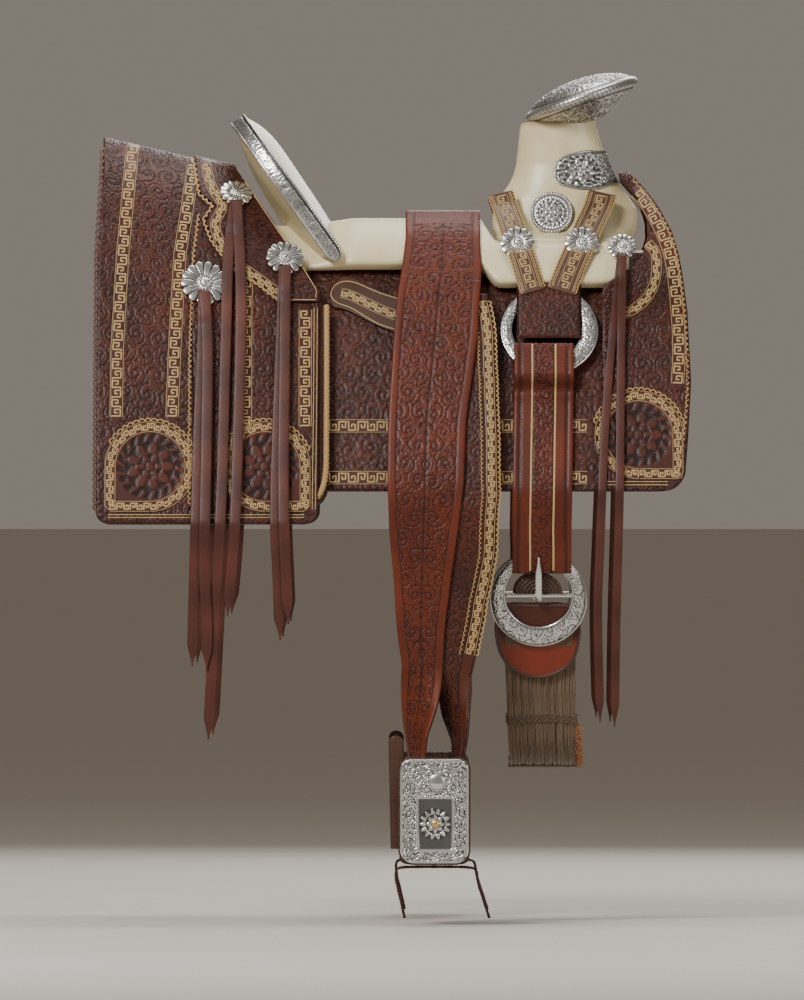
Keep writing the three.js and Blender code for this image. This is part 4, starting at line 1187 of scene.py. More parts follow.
# Cantle rim: engraved band with a rope edge in front.
run = np.linspace(0.0, 1.0, 560)
a_in, u_in = rim_edge(run, 0.3)
a_out, u_out = rim_edge(run, 4.3)
length = np.concatenate([[0], np.cumsum(np.hypot(np.diff(a_out), np.diff(u_out)))])
section = [(-12, 0.0), (-12, 0.8), (-11.2, 1.05), (-10, 1.05), (-9.2, 0.85), (-8.6, 0.98), (-6.5, 1.02),
           (-4.5, 1.04), (-2.5, 1.05), (-0.5, 1.05), (1.5, 1.04), (3.2, 1.0), (4.2, 0.95), (4.8, 0.6),
           (5.6, 0.45), (6.4, 0.6), (7.0, 1.0), (8.2, 1.3), (9.3, 1.0), (9.9, 0.5), (9.9, 0.0)]
rim_rows, rim_shade = [], []
# The band narrows to a rounded point at each end.
tip = np.sqrt(np.clip(1 - np.clip(1 - np.minimum(length, length[-1] - length) / 16, 0, 1) ** 2, 0.03, 1))
for forward, share in section:
    flat = -8.8 < forward < 4.4
    carve = floral(length, np.full_like(length, forward) + 12, 13.0, 12) if flat else np.ones_like(length)
    rope = 0.6 * np.cos(length * TAU / 3.6 + forward) if forward > 6.5 and share > 0.9 else 0.0
    k = share + (0.6 * (carve - 1) + rope) / 4.0
    rim_rows.append(cantle_point(a_in + (a_out - a_in) * k, u_in + (u_out - u_in) * k,
                                 forward * tip - 1.0 * (1 - tip)))
    tone = 0.12 + 0.88 * carve if flat else np.full_like(length, 0.15 if 4.4 < forward < 6.6 else 0.8)
    rim_shade.append(tone + (0.2 * np.cos(length * TAU / 3.6) if forward > 6.6 else 0))
rim_points, rim_shade = np.array(rim_rows), np.array(rim_shade)
rim = Pieces()
points = rim_points.reshape(-1, 3)
faces = grid_faces(len(section), len(run))
rim_middle = cantle_point(np.zeros(1), np.full(1, 110.0), np.zeros(1))
rim_face = outward(points, faces, points[faces[:, 0]] - rim_middle)
rim.add(points, [rim_face], np.clip(rim_shade, 0, 1).reshape(-1))
under = np.concatenate([rim_points[:1], rim_points[-1:]]).reshape(-1, 3)
rim.add(under, [outward(under, grid_faces(2, len(run)), rim_middle - under[0])], 0.5)
rim.build("cantle_rim_silver", SILVER, "saddle", ["cantle_rim"], "silver")


# Horn cap: an engraved lens with a rope edge round it.
def cap_point(radius, angle, height):
    axis = np.array([-math.sin(0.34), 0, math.cos(0.34)])
    ahead = np.array([math.cos(0.34), 0, math.sin(0.34)])
    return (np.array([230, 0, 258.0]) + ahead * (radius * np.cos(angle))[..., None]
            + np.array([0, 1.0, 0]) * (radius * np.sin(angle))[..., None]
            + axis * np.asarray(height)[..., None])


CAP_PROFILE = [(0, -31.5), (22, -30), (44, -21), (58, -14), (66, -9), (68, -6.5), (71, -5.6),
               (73.6, -3.4), (74.6, 0), (73.6, 3.4), (71, 5.2), (68.4, 6.6), (66, 8.6), (58, 14),
               (48, 18), (36, 21.6), (24, 23.8), (10, 25.2), (0, 25.4)]
profile = smooth_path(CAP_PROFILE, 1.3)
theta = np.linspace(0, TAU, 260, endpoint=False)
pr, ph = profile[:, 0][:, None], profile[:, 1][:, None]
run = np.concatenate([[0], np.cumsum(np.linalg.norm(np.diff(profile, axis=0), axis=1))])[:, None]
flat_x, flat_y = pr * np.cos(theta) + 200, pr * np.sin(theta) + 200
carve = floral(flat_x, flat_y, 17.0, 14)
rope_zone = smoothstep(66.5, 68, pr)
rope = 0.5 + 0.5 * np.cos(theta * 74 + ph * 0.5)
groove = np.minimum(smoothstep(0.4, 1.3, np.abs(pr - 66.5)),
                    smoothstep(0.4, 1.2, np.abs(pr - 30 - 0 * theta)))
carve = np.where(rope_zone > 0.5, 0.35 + 0.65 * rope, carve * groove)
cap_points = cap_point(pr + (carve - 1) * 0.75 * rope_zone, theta[None, :] + 0 * pr,
                       ph + (carve - 1) * 1.1 * np.sign(ph) * (1 - rope_zone))
cap = Pieces()
points = cap_points.reshape(-1, 3)
faces = grid_faces(len(profile), len(theta), False, True)
faces = outward(points, faces, points[faces[:, 0]] - np.array([230, 0, 258.0]))
cap.add(points, [faces], (0.02 + 0.9 * carve).reshape(-1))
cap.build("horn_cap_silver", SILVER, "saddle", ["horn_cap"], "silver")


# ---------------------------------------------------------------- discs and conchas

def local_frame(centre, normal):
    """A surface at a centre: place(a, b, h) goes along it, up it and out from it."""
    n = np.asarray(normal, float)
    n = n / np.linalg.norm(n)
    side = np.cross((0, 0, 1), n)
    side /= np.linalg.norm(side)
    over = np.cross(n, side)
    centre = np.asarray(centre, float)

    def place(a, b, h):
        return (centre + side * np.asarray(a)[..., None] + over * np.asarray(b)[..., None]
                + n * np.asarray(h)[..., None])
    return place


def dish(piece, place, radius_of, height_of, shade_of, thick=2.0, rings=26, spokes=160):
    """A round ornament: an outline, a height and a shade, each as functions of share and angle."""
    share = np.linspace(0, 1, rings)[:, None]
    angle = np.linspace(0, TAU, spokes, endpoint=False)[None, :]
    radius = share * radius_of(angle)
    top = place(radius * np.cos(angle), radius * np.sin(angle), height_of(share, angle) + 0 * radius)
    edge = place(radius[-1] * np.cos(angle[0]), radius[-1] * np.sin(angle[0]), np.full(spokes, -thick))
    base = place(radius[-1:] * 0.0, radius[-1:] * 0.0, np.full((1, spokes), -thick))
    points = np.concatenate([top.reshape(-1, 3), edge, base.reshape(-1, 3)])
    faces = grid_faces(rings + 2, spokes, False, True)
    normal = place(np.zeros(1), np.zeros(1), np.ones(1)) - place(np.zeros(1), np.zeros(1), np.zeros(1))
    head = outward(points, faces[:(rings - 1) * spokes], normal)
    tail = faces[(rings - 1) * spokes:]
    if not np.array_equal(head[0], faces[0]):
        tail = tail[:, ::-1]
    shade = np.concatenate([(shade_of(share, angle) + 0 * radius).reshape(-1), np.full(2 * spokes, 0.7)])
    piece.add(points, [head, tail], shade)


def concha(piece, place, radius, petals=12):
    """A daisy: rounded petals with a vein each, round a ringed button."""
    def petal(angle):
        return np.abs(np.cos(petals * angle / 2)) ** 0.7

    def outline(angle):
        return radius * (0.86 + 0.14 * petal(angle))

    def height(share, angle):
        lobes = petal(angle)
        swell = np.sin(np.pi * np.clip((share - 0.26) / 0.8, 0, 1)) ** 0.6
        body = 0.6 + 1.9 * smoothstep(0.0, 0.5, lobes) * swell
        button = 4.2 * np.sqrt(np.clip(1 - (share / 0.25) ** 2, 0, 1)) + 0.8
        ringed = 1.3 * np.exp(-((share - 0.29) / 0.03) ** 2)
        return np.where(share < 0.25, button, body + ringed)

    def shade(share, angle):
        lobes = petal(angle)
        vein = 1 - 0.35 * smoothstep(0.99, 1.0, lobes) * (share > 0.36) * (share < 0.8)
        dark = smoothstep(0.30, 0.50, lobes) * vein
        ticks = 1 - 0.55 * (share < 0.24) * (np.cos(16 * angle) > 0.6)
        return np.where(share < 0.3, ticks, np.clip(0.03 + 0.97 * dark, 0, 1))

    dish(piece, place, outline, height, shade, 1.4, 26, petals * 16)


def engraved_disc(piece, place, radius):
    """A medallion with a rope rim, a beaded ring and a carved flower."""
    thick = 3.0

    def height(share, angle):
        rope = 0.55 * (0.5 + 0.5 * np.cos(angle * 46 + share * 30)) * (share > 0.87)
        rim = 1.5 * np.exp(-((share - 0.93) / 0.05) ** 2)
        bead = 0.7 * np.exp(-((share - 0.76) / 0.03) ** 2) * (0.5 + 0.5 * np.cos(angle * 34))
        _, flower = medallion(share * np.cos(angle), share * np.sin(angle), 0, 0, 0.72)
        return thick * 0.4 + rim + rope + bead + 1.1 * flower * (share < 0.7) + 0.6 * (1 - share**2)

    def shade(share, angle):
        _, flower = medallion(share * np.cos(angle), share * np.sin(angle), 0, 0, 0.72)
        inside = 0.15 + 0.85 * flower
        outside = np.where(share > 0.86, 0.45 + 0.55 * (0.5 + 0.5 * np.cos(angle * 46 + share * 30)),
                           np.where(np.abs(share - 0.76) < 0.05, 0.85, 0.18))
        return np.where(share < 0.7, inside, outside)

    dish(piece, place, lambda angle: radius + 0 * angle, height, shade, thick * 0.5, 40, 200)


plates = Pieces()
engraved_disc(plates, local_frame((192, -52.0, 113), (0, -0.958, 0.287)), 27)
plates.both("{s}_neck_medallion_silver", SILVER, "saddle", ["{s}_neck_medallion"], "silver")

# The plate that wraps round the neck's front, with a round lobe on each flank.
wrap = Pieces()
u = np.linspace(-1, 1, 200)[:, None]
v = np.linspace(-1, 1, 52)[None, :]
side_u = np.abs(u)
middle_z = 172 - 6.5 * smoothstep(0.2, 0.9, side_u)
lobe = np.clip(1 - np.clip((side_u - 0.60) / 0.40, 0, 1) ** 2.6, 0.002, 1) ** (1 / 2.6)
half_tall = (24 - 3.5 * smoothstep(0.6, 0.3, side_u)) * lobe
tall = middle_z + half_tall * v
rear_x, front_x, half_y, square = (np.interp(tall, table[:, 0], table[:, k]) for k in (1, 2, 3, 4))
turn = u * 1.72
c, s = np.cos(turn), np.sin(turn)
rim_line = np.minimum((1 - np.abs(v)) * half_tall, 60 * (1 - side_u) + 1.2)
cx_lobe = (side_u - 0.70) * 74
_, flower = medallion(cx_lobe, (tall - middle_z), 0, 0, 20.5)
inside = np.hypot(cx_lobe, tall - middle_z) < 20.5
shade = np.where(inside, 0.1 + 0.9 * flower, 0.15 + 0.85 * floral(u * 80 + 100, tall, 13.0, 27))
shade = np.where(rim_line < 2.6, 0.55 + 0.45 * np.cos(u * 330 + v * 30), shade)
shade = np.where((rim_line > 2.6) & (rim_line < 3.6), 0.05, shade)
rise = 1.4 + 1.6 * shade
reach_x = (front_x - rear_x) / 2 + rise
plate_x = (front_x + rear_x) / 2 + reach_x * np.sign(c) * np.abs(c) ** square
plate_y = (half_y + rise) * np.sign(s) * np.abs(s) ** square
points = np.stack([plate_x, plate_y, tall], -1)
inner_x = (front_x + rear_x) / 2 + (reach_x - rise + 0.2) * np.sign(c) * np.abs(c) ** square
inner_y = (half_y + 0.2) * np.sign(s) * np.abs(s) ** square
slab(wrap, points, np.stack([inner_x, inner_y, tall], -1), np.clip(shade, 0, 1), 0.6)
wrap.build("neck_front_medallion_silver", SILVER, "saddle", ["neck_front_medallion"], "silver")


# ---------------------------------------------------------------- straps

def strap_frames(stations, step=1.5):
    """Centre, width direction, normal and width along a strap of stations (point, side, width)."""
    centre = np.array([s[0] for s in stations], float)
    line = smooth_path(centre, step)
    keep = np.concatenate([[0], np.cumsum(np.linalg.norm(np.diff(centre, axis=0), axis=1))])
    run = np.concatenate([[0], np.cumsum(np.linalg.norm(np.diff(line, axis=0), axis=1))])
    at = run / run[-1] * keep[-1]
    side = np.stack([np.interp(at, keep, [s[1][k] for s in stations]) for k in range(3)], -1)
    width = np.interp(at, keep, [s[2] for s in stations])
    tangent = np.gradient(line, axis=0)
    tangent /= np.linalg.norm(tangent, axis=1, keepdims=True)
    side -= tangent * np.sum(side * tangent, 1, keepdims=True)
    side /= np.linalg.norm(side, axis=1, keepdims=True)
    normal = np.cross(tangent, side)
    return line, side, normal, width, run


def strap_surface(stations, thickness, outward_hint=(0, -1, 0.3), step=1.5):
    """place(a, b, h): a along the strap in mm, b across it from -1 to 1, h above its outer face."""
    line, side, normal, width, run = strap_frames(stations, step)
    flip = 1.0 if np.dot(normal[len(normal) // 4], outward_hint) > 0 else -1.0

    def place(a, b, h=0.0, absolute=False):
        a = np.asarray(a, float)
        pick = lambda data: np.stack([np.interp(a, run, data[:, k]) for k in range(3)], -1)
        w = np.interp(a, run, width) / 2
        b = np.asarray(b, float)
        reach = b if absolute else b * w
        return (pick(line) + pick(side) * reach[..., None]
                + pick(normal) * (flip * (thickness / 2 + np.asarray(h, float)))[..., None])
    return place, run, width


def carved_strap(piece, stations, thickness, relief, step=1.4, outward_hint=(0, -1, 0.3)):
    """A strap whose outer face is carved. relief(a, b) takes mm along and mm across."""
    place, run, width = strap_surface(stations, thickness, outward_hint)
    rows = int(run[-1] / step) + 1
    columns = int(width.max() / step) + 1
    a = np.linspace(0, run[-1], rows)[:, None] + np.zeros((1, columns))
    b = np.linspace(-1, 1, columns)[None, :] + np.zeros((rows, 1))
    half = np.interp(a, run, width) / 2
    mm = b * half
    carve = relief(a, mm)
    edge = np.clip((half * np.abs(b).max(1, keepdims=True) - np.abs(mm)) / 3.0, 0, 1)
    top = place(a, b, -(1 - carve) - (1 - edge) ** 2)
    under = place(a, b, np.full(a.shape, -thickness))
    # Painted shade in the cuts and creases and painted highlight on the raised leather, through the tool colour.
    slab(piece, top, under, 0.08 + 0.92 * carve, 0.35)
    return place, run, width


def flat_map(place):
    """A surface for thread() and friends: side-view style coordinates (a, b) in mm."""
    def surface(a, b, h=0.0):
        return place(a, b, np.zeros(np.shape(a)) + h, True)
    return surface


# V rigging yoke over the tree.
FACE = np.array([(150, 42), (140, 44.5), (124, 53), (113, 64), (101, 76), (83, 92.5), (62, 110),
                 (44, 121.5), (25, 128.5), (5, 136), (-20, 147)], float)[::-1]


def arm(path, width):
    return [((x, -(np.interp(z, FACE[:, 0], FACE[:, 1]) + 3.4), z), (1, 0, 0), width) for x, z in path]


def yoke_relief(_, b):
    """Two creased lines along the arm."""
    return 0.8 + 0.2 * smoothstep(0.4, 1.0, np.abs(np.abs(b) - 11))


REAR_ARM = [(127, 138), (131, 124), (135, 112), (140, 98), (146, 80), (152, 62), (158, 44), (164, 24),
            (168, 12)]
FRONT_ARM = [(256, 138), (252, 124), (247, 112), (240, 98), (232, 80), (224, 62), (216, 44), (208, 24),
             (204, 12)]
yoke, yoke_thread, yoke_lace = Pieces(), Pieces(), Pieces()
for path, width in ((REAR_ARM, 31), (FRONT_ARM, 35)):
    place, run, _ = carved_strap(yoke, arm(path, width), 3.4, yoke_relief)
    surface = flat_map(place)
    total = run[-1]
    key_band(yoke_thread, [(4, 0), (total - 4, 0)], surface, half=6.0)
    for b in (-width / 2 + 5, -width / 2 + 3, width / 2 - 5, width / 2 - 3):
        a = np.arange(2, total - 2, 3.0)
        thread(yoke_thread, [np.stack([a, np.full_like(a, b)], -1)], surface, 1.1, 0.7, 0.85)
    scallops(yoke_lace, [(2, -width / 2 + 1.4), (total - 2, -width / 2 + 1.4)], surface, 2.0, 4.6, -1,
             width=1.6)
    scallops(yoke_lace, [(2, width / 2 - 1.4), (total - 2, width / 2 - 1.4)], surface, 2.0, 4.6, 1, width=1.6)

ring_y, _, ring_ny, ring_nz = (float(v) for v in layer_at(np.array(SEAT_RIDGE), np.array(RIG_Z), RIG_OFF))
ring_place = local_frame((RIG_X, -ring_y, RIG_Z), (0, -ring_ny, ring_nz))
# local_frame's first axis runs toward +X on the off side.
ring_sign = float(np.sign(ring_place(np.ones(1), np.zeros(1), np.zeros(1))[0, 0] - RIG_X))


def ring_at(x, up, out):
    return ring_place(np.asarray(x, float) * ring_sign, up, out)


def keeper_slab(piece, place, x0, x1, low, high, out, thick, relief):
    """A carved patch with rounded edges over the ring's opening."""
    step = 1.3
    columns, rows = int((x1 - x0) / step), int((high - low) / step)
    x = np.linspace(x0, x1, columns)[None, :] + np.zeros((rows, 1))
    up = np.linspace(high, low, rows)[:, None] + np.zeros((1, columns))
    edge = np.minimum(np.minimum(x - x0, x1 - x), np.minimum(up - low, high - up))
    round_off = 2.4 * (1 - np.clip(edge / 6.0, 0, 1)) ** 2
    carve = relief(x, up)
    # The keeper bellies outward over the ring's opening.
    belly = 1.5 * np.sin(np.pi * np.clip((high - up) / (high - low), 0, 1))
    top = place(x, up, out + belly - round_off - 1.0 * (1 - carve))
    # Painted shade in the cut ground and painted highlight on the raised leather, through the tool colour.
    slab(piece, top, place(x, up, np.full(x.shape, out - thick)), 0.08 + 0.92 * carve, 0.3)


ring_wrap = Pieces()
keeper_slab(ring_wrap, ring_at, -41, 40, -13, 67, 7.8, 3.2, lambda x, up: floral(x + 60, up + 60, 19.0, 21)
            * smoothstep(1.2, 2.2, np.minimum(40 - x, x + 41)))
ring_wrap.both("{s}_ring_wrap_leather", PLUM, "saddle", slot="brown_leather")
yoke.both("{s}_rigging_yoke_leather", UMBER, "saddle", ["{s}_rigging_yoke"], "brown_leather")
yoke_thread.both("{s}_rigging_yoke_stitching", THREAD, "saddle", slot="thong")
yoke_lace.both("{s}_rigging_yoke_lace", GOLD, "saddle", slot="thong")
# One small concha on each arm, a third of the way from its fifth point to its sixth.
studs = Pieces()
for path in (REAR_ARM, FRONT_ARM):
    x, z = np.array(path[4]) + 0.32 * (np.array(path[5]) - np.array(path[4]))
    y = float(np.interp(z, FACE[:, 0], FACE[:, 1])) + 5.2
    concha(studs, local_frame((x, -y - 1.6, z), (0, -0.9, 0.44)), 22)
studs.both("{s}_yoke_concha_silver", SILVER, "saddle", slot="silver")


# Rigging ring and buckle ring: broad engraved crescents.
def engraved_ring(piece, place, outer, band, half, seed, shift=(0.0, 0.0)):
    """A flat ring with a domed, engraved face. shift moves the hole off its centre, for a crescent."""
    theta = np.linspace(0, TAU, 360, endpoint=False)
    inner = outer - band
    rows, shades = [], []
    cuts = np.linspace(0, 1, 19)
    for c in cuts:
        radius = outer - 0.3 + (inner - outer + 0.6) * c
        dx, dy = shift[0] * c, shift[1] * c
        dome = math.sqrt(max(0.0, 1 - (2 * c - 1) ** 2))
        carve = floral(theta * (outer - band / 2), np.full_like(theta, c * band * 1.15) + 40, 19.0, seed)
        border = 1.0 if min(c, 1 - c) < 0.1 else 0.0
        groove = 0.0 if 0.1 <= min(c, 1 - c) < 0.16 else 1.0
        carve = np.maximum(carve * groove, border)
        height = half * (0.35 + 0.9 * dome) + 0.7 * (carve - 1)
        rows.append(place(radius * np.cos(theta) + dx, radius * np.sin(theta) + dy, height))
        shades.append(0.1 + 0.9 * carve)
    for c in (1.0, 0.0):
        radius = outer - 0.3 + (inner - outer + 0.6) * c
        rows.append(place(radius * np.cos(theta) + shift[0] * c, radius * np.sin(theta) + shift[1] * c,
                          np.full_like(theta, -half * 0.9)))
        shades.append(np.full_like(theta, 0.6))
    points = np.array(rows).reshape(-1, 3)
    faces = grid_faces(len(rows), len(theta), True, True)
    normal = place(np.zeros(1), np.zeros(1), np.ones(1)) - place(np.zeros(1), np.zeros(1), np.zeros(1))
    count = (len(cuts) - 1) * len(theta)
    head = outward(points, faces[:count], normal)
    tail = faces[count:] if np.array_equal(head[0], faces[0]) else faces[count:, ::-1]
    piece.add(points, [head, tail], np.array(shades).reshape(-1))


ring = Pieces()
engraved_ring(ring, ring_at, RING_RADIUS, RING_BAND - 3, 3.0, 31, (-3.5, 2.0))
ring.both("{s}_rigging_ring_silver", SILVER, "saddle", ["{s}_rigging_ring"], "silver")

buckle_place = local_frame((BUCKLE_X, -BUCKLE_Y, BUCKLE_Z), (0, -BUCKLE_NY, BUCKLE_NZ))
buckle_sign = float(np.sign(buckle_place(np.ones(1), np.zeros(1), np.zeros(1))[0, 0] - BUCKLE_X))


def buckle_at(x, up, out):
    return buckle_place(np.asarray(x, float) * buckle_sign, up, out)


ring = Pieces()
engraved_ring(ring, buckle_at, RING_RADIUS - 1, RING_BAND - 3, 3.2, 33, (0.0, 7.5))
bar_line = buckle_at(np.linspace(-42, 42, 40), np.full(40, 5.0), np.zeros(40))
tube(ring, bar_line, 2.8, 12)
ring.both("{s}_buckle_ring_silver", SILVER, "cinch_rig", ["{s}_buckle_ring"], "silver")

# Buckle tongue: an eye round the crossbar and a pointed shank.
tongue = Pieces()
shank = np.array([(5 - 4.6, 2.0), (5 - 4.9, 5.5), (5 - 1, 8.6), (5 + 5, 9.6), (20, 9.7), (34, 9.6),
                  (46, 9.4), (52, 9.2), (56.5, 9.0)])
line = smooth_path(shank, 1.2)
share = np.linspace(0, 1, len(line))
tube(tongue, buckle_at(np.zeros(len(line)), line[:, 0], line[:, 1]),
     4.3 * (1 - 0.72 * smoothstep(0.62, 1.0, share)), 14, flat=0.55)
eye = np.linspace(0, TAU, 40, endpoint=False)
for x in (-2.4, 0, 2.4):
    tube(tongue, buckle_at(np.full(40, x), 5 + 5.3 * np.cos(eye), 5.3 * np.sin(eye)), 1.25, 8, closed=True,
         up=(1, 0, 0))
tongue.both("{s}_buckle_tongue_silver", SILVER, "{s}_tongue", ["{s}_buckle_tongue"], "silver")


def hang(z):
    """How far out the latigo hangs: over the skirt, then leaning in to the cinch."""
    over = float(layer_at(np.array(SEAT_RIDGE), np.array(float(z)), 17.8)[0])
    lean = 231 + 0.234 * (z + 238)
    return -4 * math.log(math.exp(-(over - 200) / 4) + math.exp(-(lean - 200) / 4)) + 200


# Latigo: a broad strap from the rigging ring to the buckle ring.
latigo, latigo_thread = Pieces(), Pieces()
ring_out = [(-22, 8.8), (-30, 10.2), (-44, 10.4), (-56, 10.2), (-68, 8.2)]
stations = [(tuple(ring_at(np.array(-7.0), np.array(float(up)), np.array(out - 1.8))), (1, 0, 0), 75.0)
            for up, out in ring_out]
for z in (-112, -130, -160, -190, -215, -238, -262, -286):
    stations.append(((181 + (z + 104) * 0.018, -hang(z), z), (1, 0, 0), 75.0))
for up, out in ((66, 4.6), (56, 6.4), (44, 6.6), (35, 6.2)):
    stations.append((tuple(buckle_at(np.array(4.0), np.array(float(up)), np.array(out - 1.8))), (1, 0, 0),
                     74.0))


def latigo_relief(a, b):
    rails = smoothstep(0.4, 1.1, np.abs(np.abs(b) - 13.5)) * smoothstep(0.4, 1.1, np.abs(np.abs(b) - 31))
    middle = floral(b + 200, a, 24.0, 41) * (np.abs(b) < 13)
    stitches = smoothstep(0.2, 0.6, np.abs(np.cos(a * TAU / 9 + b * 0.5))) * (np.abs(np.abs(b) - 29) < 1.6)
    stamp = (np.abs(b) >= 14) * (np.abs(b) < 31) * (0.85 - 0.7 * stitches)
    return np.clip((middle + stamp + (np.abs(b) >= 31) * 0.9) * rails, 0, 1)


place, run, _ = carved_strap(latigo, stations, 3.6, latigo_relief)
surface = flat_map(place)
a = np.arange(2, run[-1] - 2, 3.0)
for b in (-14.6, 14.6):
    thread(latigo_thread, [np.stack([a, np.full_like(a, b)], -1)], surface, 2.6, 0.9, 1.0)
# The leather folded back behind each ring.
for at, x0, x1, low, high in ((ring_at, -44, 31, -66, -24), (buckle_at, -32, 40, 34, 64)):
    columns = 24
    x = np.linspace(x0, x1, columns)[None, :] + np.zeros((16, 1))
    up = np.linspace(high, low, 16)[:, None] + np.zeros((1, columns))
    slab(latigo, at(x, up, np.full(x.shape, -7.0)), at(x, up, np.full(x.shape, -9.2)), 0.5, 0.4)
latigo.both("{s}_latigo_leather", RUSSET, "cinch_rig", ["{s}_latigo"], "brown_leather")
latigo_thread.both("{s}_latigo_stitching", THREAD, "cinch_rig", slot="thong")

# Half-moon leather disc in the buckle ring, behind the tongue.
disc = Pieces()
share = np.linspace(0.02, 1, 40)[:, None]
theta = np.linspace(0, math.pi, 120)[None, :]
ridge_rows = 0.5 + 0.5 * np.cos(share * TAU * 6.5)
rays = 0.5 + 0.5 * np.cos(theta * 34)
top = buckle_at(30 * share * np.cos(theta), 7 + 27 * share * np.sin(theta),
                -1.6 + 1.3 * ridge_rows + 0.5 * rays * (share > 0.5) + 0 * theta)
under = buckle_at(30 * share * np.cos(theta), 7 + 27 * share * np.sin(theta), -4.2 + 0 * share + 0 * theta)
# Painted shade: the grooves between the ridges are darker.
slab(disc, top, under, 0.3 + 0.7 * ridge_rows + 0 * theta, 0.4)
disc.both("{s}_buckle_disc_leather", UMBER, "cinch_rig", slot="brown_leather")

# Cinch safe: a half-moon guard with a braided edge.
SAFE = smooth_path([(-39, -10), (0, -9), (39, -10), (50, -28), (51, -52), (44, -78), (26, -95), (0, -102),
                    (-26, -95), (-44, -78), (-51, -52), (-50, -28)], 1.5, True)
safe = Pieces()
share = np.linspace(0.02, 1, 30)[:, None]
sx, su = SAFE[:, 0][None, :] * share, (SAFE[:, 1][None, :] + 55) * share - 55
puff = -4.8 + 1.2 * (1 - share**3) + 0.5 * noise(sx, su, 12, 44)
top = buckle_at(np.concatenate([sx, sx[:, :1]], 1), np.concatenate([su, su[:, :1]], 1),
                np.concatenate([puff, puff[:, :1]], 1))
under = buckle_at(np.concatenate([sx, sx[:, :1]], 1), np.concatenate([su, su[:, :1]], 1),
                  np.full((30, sx.shape[1] + 1), -7.9))
# Painted shade: the upper part, inside the buckle ring, is darker.
tone = np.concatenate([su, su[:, :1]], 1)
slab(safe, top, under, 0.08 + 0.85 * smoothstep(-46, -64, tone), 0.4)
safe.both("{s}_cinch_safe_leather", ORANGE, "cinch_rig", ["{s}_cinch_safe"], "brown_leather")
edge = Pieces()
loop = buckle_at(SAFE[:, 0] * 0.985, (SAFE[:, 1] + 55) * 0.985 - 55, np.full(len(SAFE), -5.4))
tube(edge, loop, 2.0, 10, 1.0, 1.5, 3, 0.3, closed=True, up=(0, -1, 0.2))
edge.both("{s}_cinch_safe_edge", BROWN_LACE, "cinch_rig", slot="brown_leather")


# ---------------------------------------------------------------- cinch

CINCH_HALF = [(-418, 173.6), (-452, 165.6), (-490, 157.4), (-525, 150), (-548, 141), (-565, 126),
              (-575, 104), (-580, 70), (-581.5, 34)]


def cinch_station(z, y):
    return (176.5 - (z + 440) * 0.03, y, z), (1, 0, 0), 90 + (z + 440) * 0.04


stations = [cinch_station(z, -y) for z, y in CINCH_HALF] + [((180, 0, -582), (1, 0, 0), 84)]
stations += [cinch_station(z, y) for z, y in reversed(CINCH_HALF)]
cinch_at, cinch_run, _ = strap_surface(stations, 0.0, (0, -1, 0.1), 2.0)
cords = Pieces()
CORDS = 26
a = np.arange(0, cinch_run[-1], 3.6)
for k in range(CORDS):
    b = (k + 0.5) / CORDS * 2 - 1
    sway = 0.012 * np.sin(a / 37 + k * 2.3)
    for level in (1, -1):
        depth = level * 2.5 + 0.5 * np.sin(a / 23 + k * 1.7) + 0.4 * RNG.standard_normal()
        tube(cords, cinch_at(a, b * 0.97 + sway, depth), 1.72, 7, 0.72 + 0.28 * RNG.random(), 1.9, 2, 0.3)
cords.build("cinch_cords", HORSEHAIR, "cinch_rig", ["cinch"], "cinch_cord")

# Woven bars that hold the cords side by side.
bars_woven = Pieces()
across = np.linspace(-1.02, 1.02, 160)
weave = np.cos((across + 1) / 2 * CORDS * math.pi)
centre_run = cinch_run[-1] / 2
for middle in (112.0, centre_run - 60, centre_run, centre_run + 60, cinch_run[-1] - 112.0):
    for row in range(4):
        sign = 1 if row % 2 else -1
        bow = 5.0 * (1 - across**2) * (1 if middle < centre_run else -1)
        at = np.full_like(across, middle + (row - 1.5) * 2.8) - bow
        for face in (1, -1):
            tube(bars_woven, cinch_at(at, across, face * (4.2 + 0.7 * sign * weave)), 1.45, 6, 0.6, 2.2, 2,
                 0.3)
bars_woven.build("cinch_woven_bars", HORSEHAIR, "cinch_rig", slot="cinch_cord")

# Loops of the cords over the bottom of each buckle ring.
ends = Pieces()
for k in range(CORDS):
    b = ((k + 0.5) / CORDS * 2 - 1) * 42
    top = buckle_at(np.full(5, b), np.array([-38, -34, -40, -52, -62.0]),
                    np.array([-6.5, -5.4, -4.9, -5.0, -5.2]))
    tube(ends, smooth_path(top, 2.0), 1.7, 7, 0.85, 1.9, 2, 0.3)
ends.both("{s}_cinch_cord_ends", HORSEHAIR, "cinch_rig", slot="cinch_cord")

# Orange wool fringe along the front edge of the cinch.
fuzz = Pieces()
for _ in range(420):
    run_at = RNG.uniform(120, 210)
    start = cinch_at(np.array(run_at), np.array(0.93), np.array(RNG.uniform(-2, 3)))
    heading = np.array([RNG.uniform(0.5, 1.0), RNG.uniform(-0.5, 0.4), RNG.uniform(-0.9, 0.5)])
    curl = np.array([RNG.uniform(-1, 1), RNG.uniform(-1, 1), RNG.uniform(-1, 1)])
    s = np.linspace(0, 1, 6)[:, None]
    tube(fuzz, start + heading * s * RNG.uniform(5, 12) + curl * s**2 * 3, 0.35, 4, RNG.uniform(0.6, 1.0))
FUZZ = thread_material("orange_wool", (0.12, 0.04, 0.015), (0.42, 0.17, 0.06), 0.95)
fuzz.both("{s}_cinch_fringe", FUZZ, "cinch_rig", slot="cinch_cord")


# ---------------------------------------------------------------- stirrup leathers

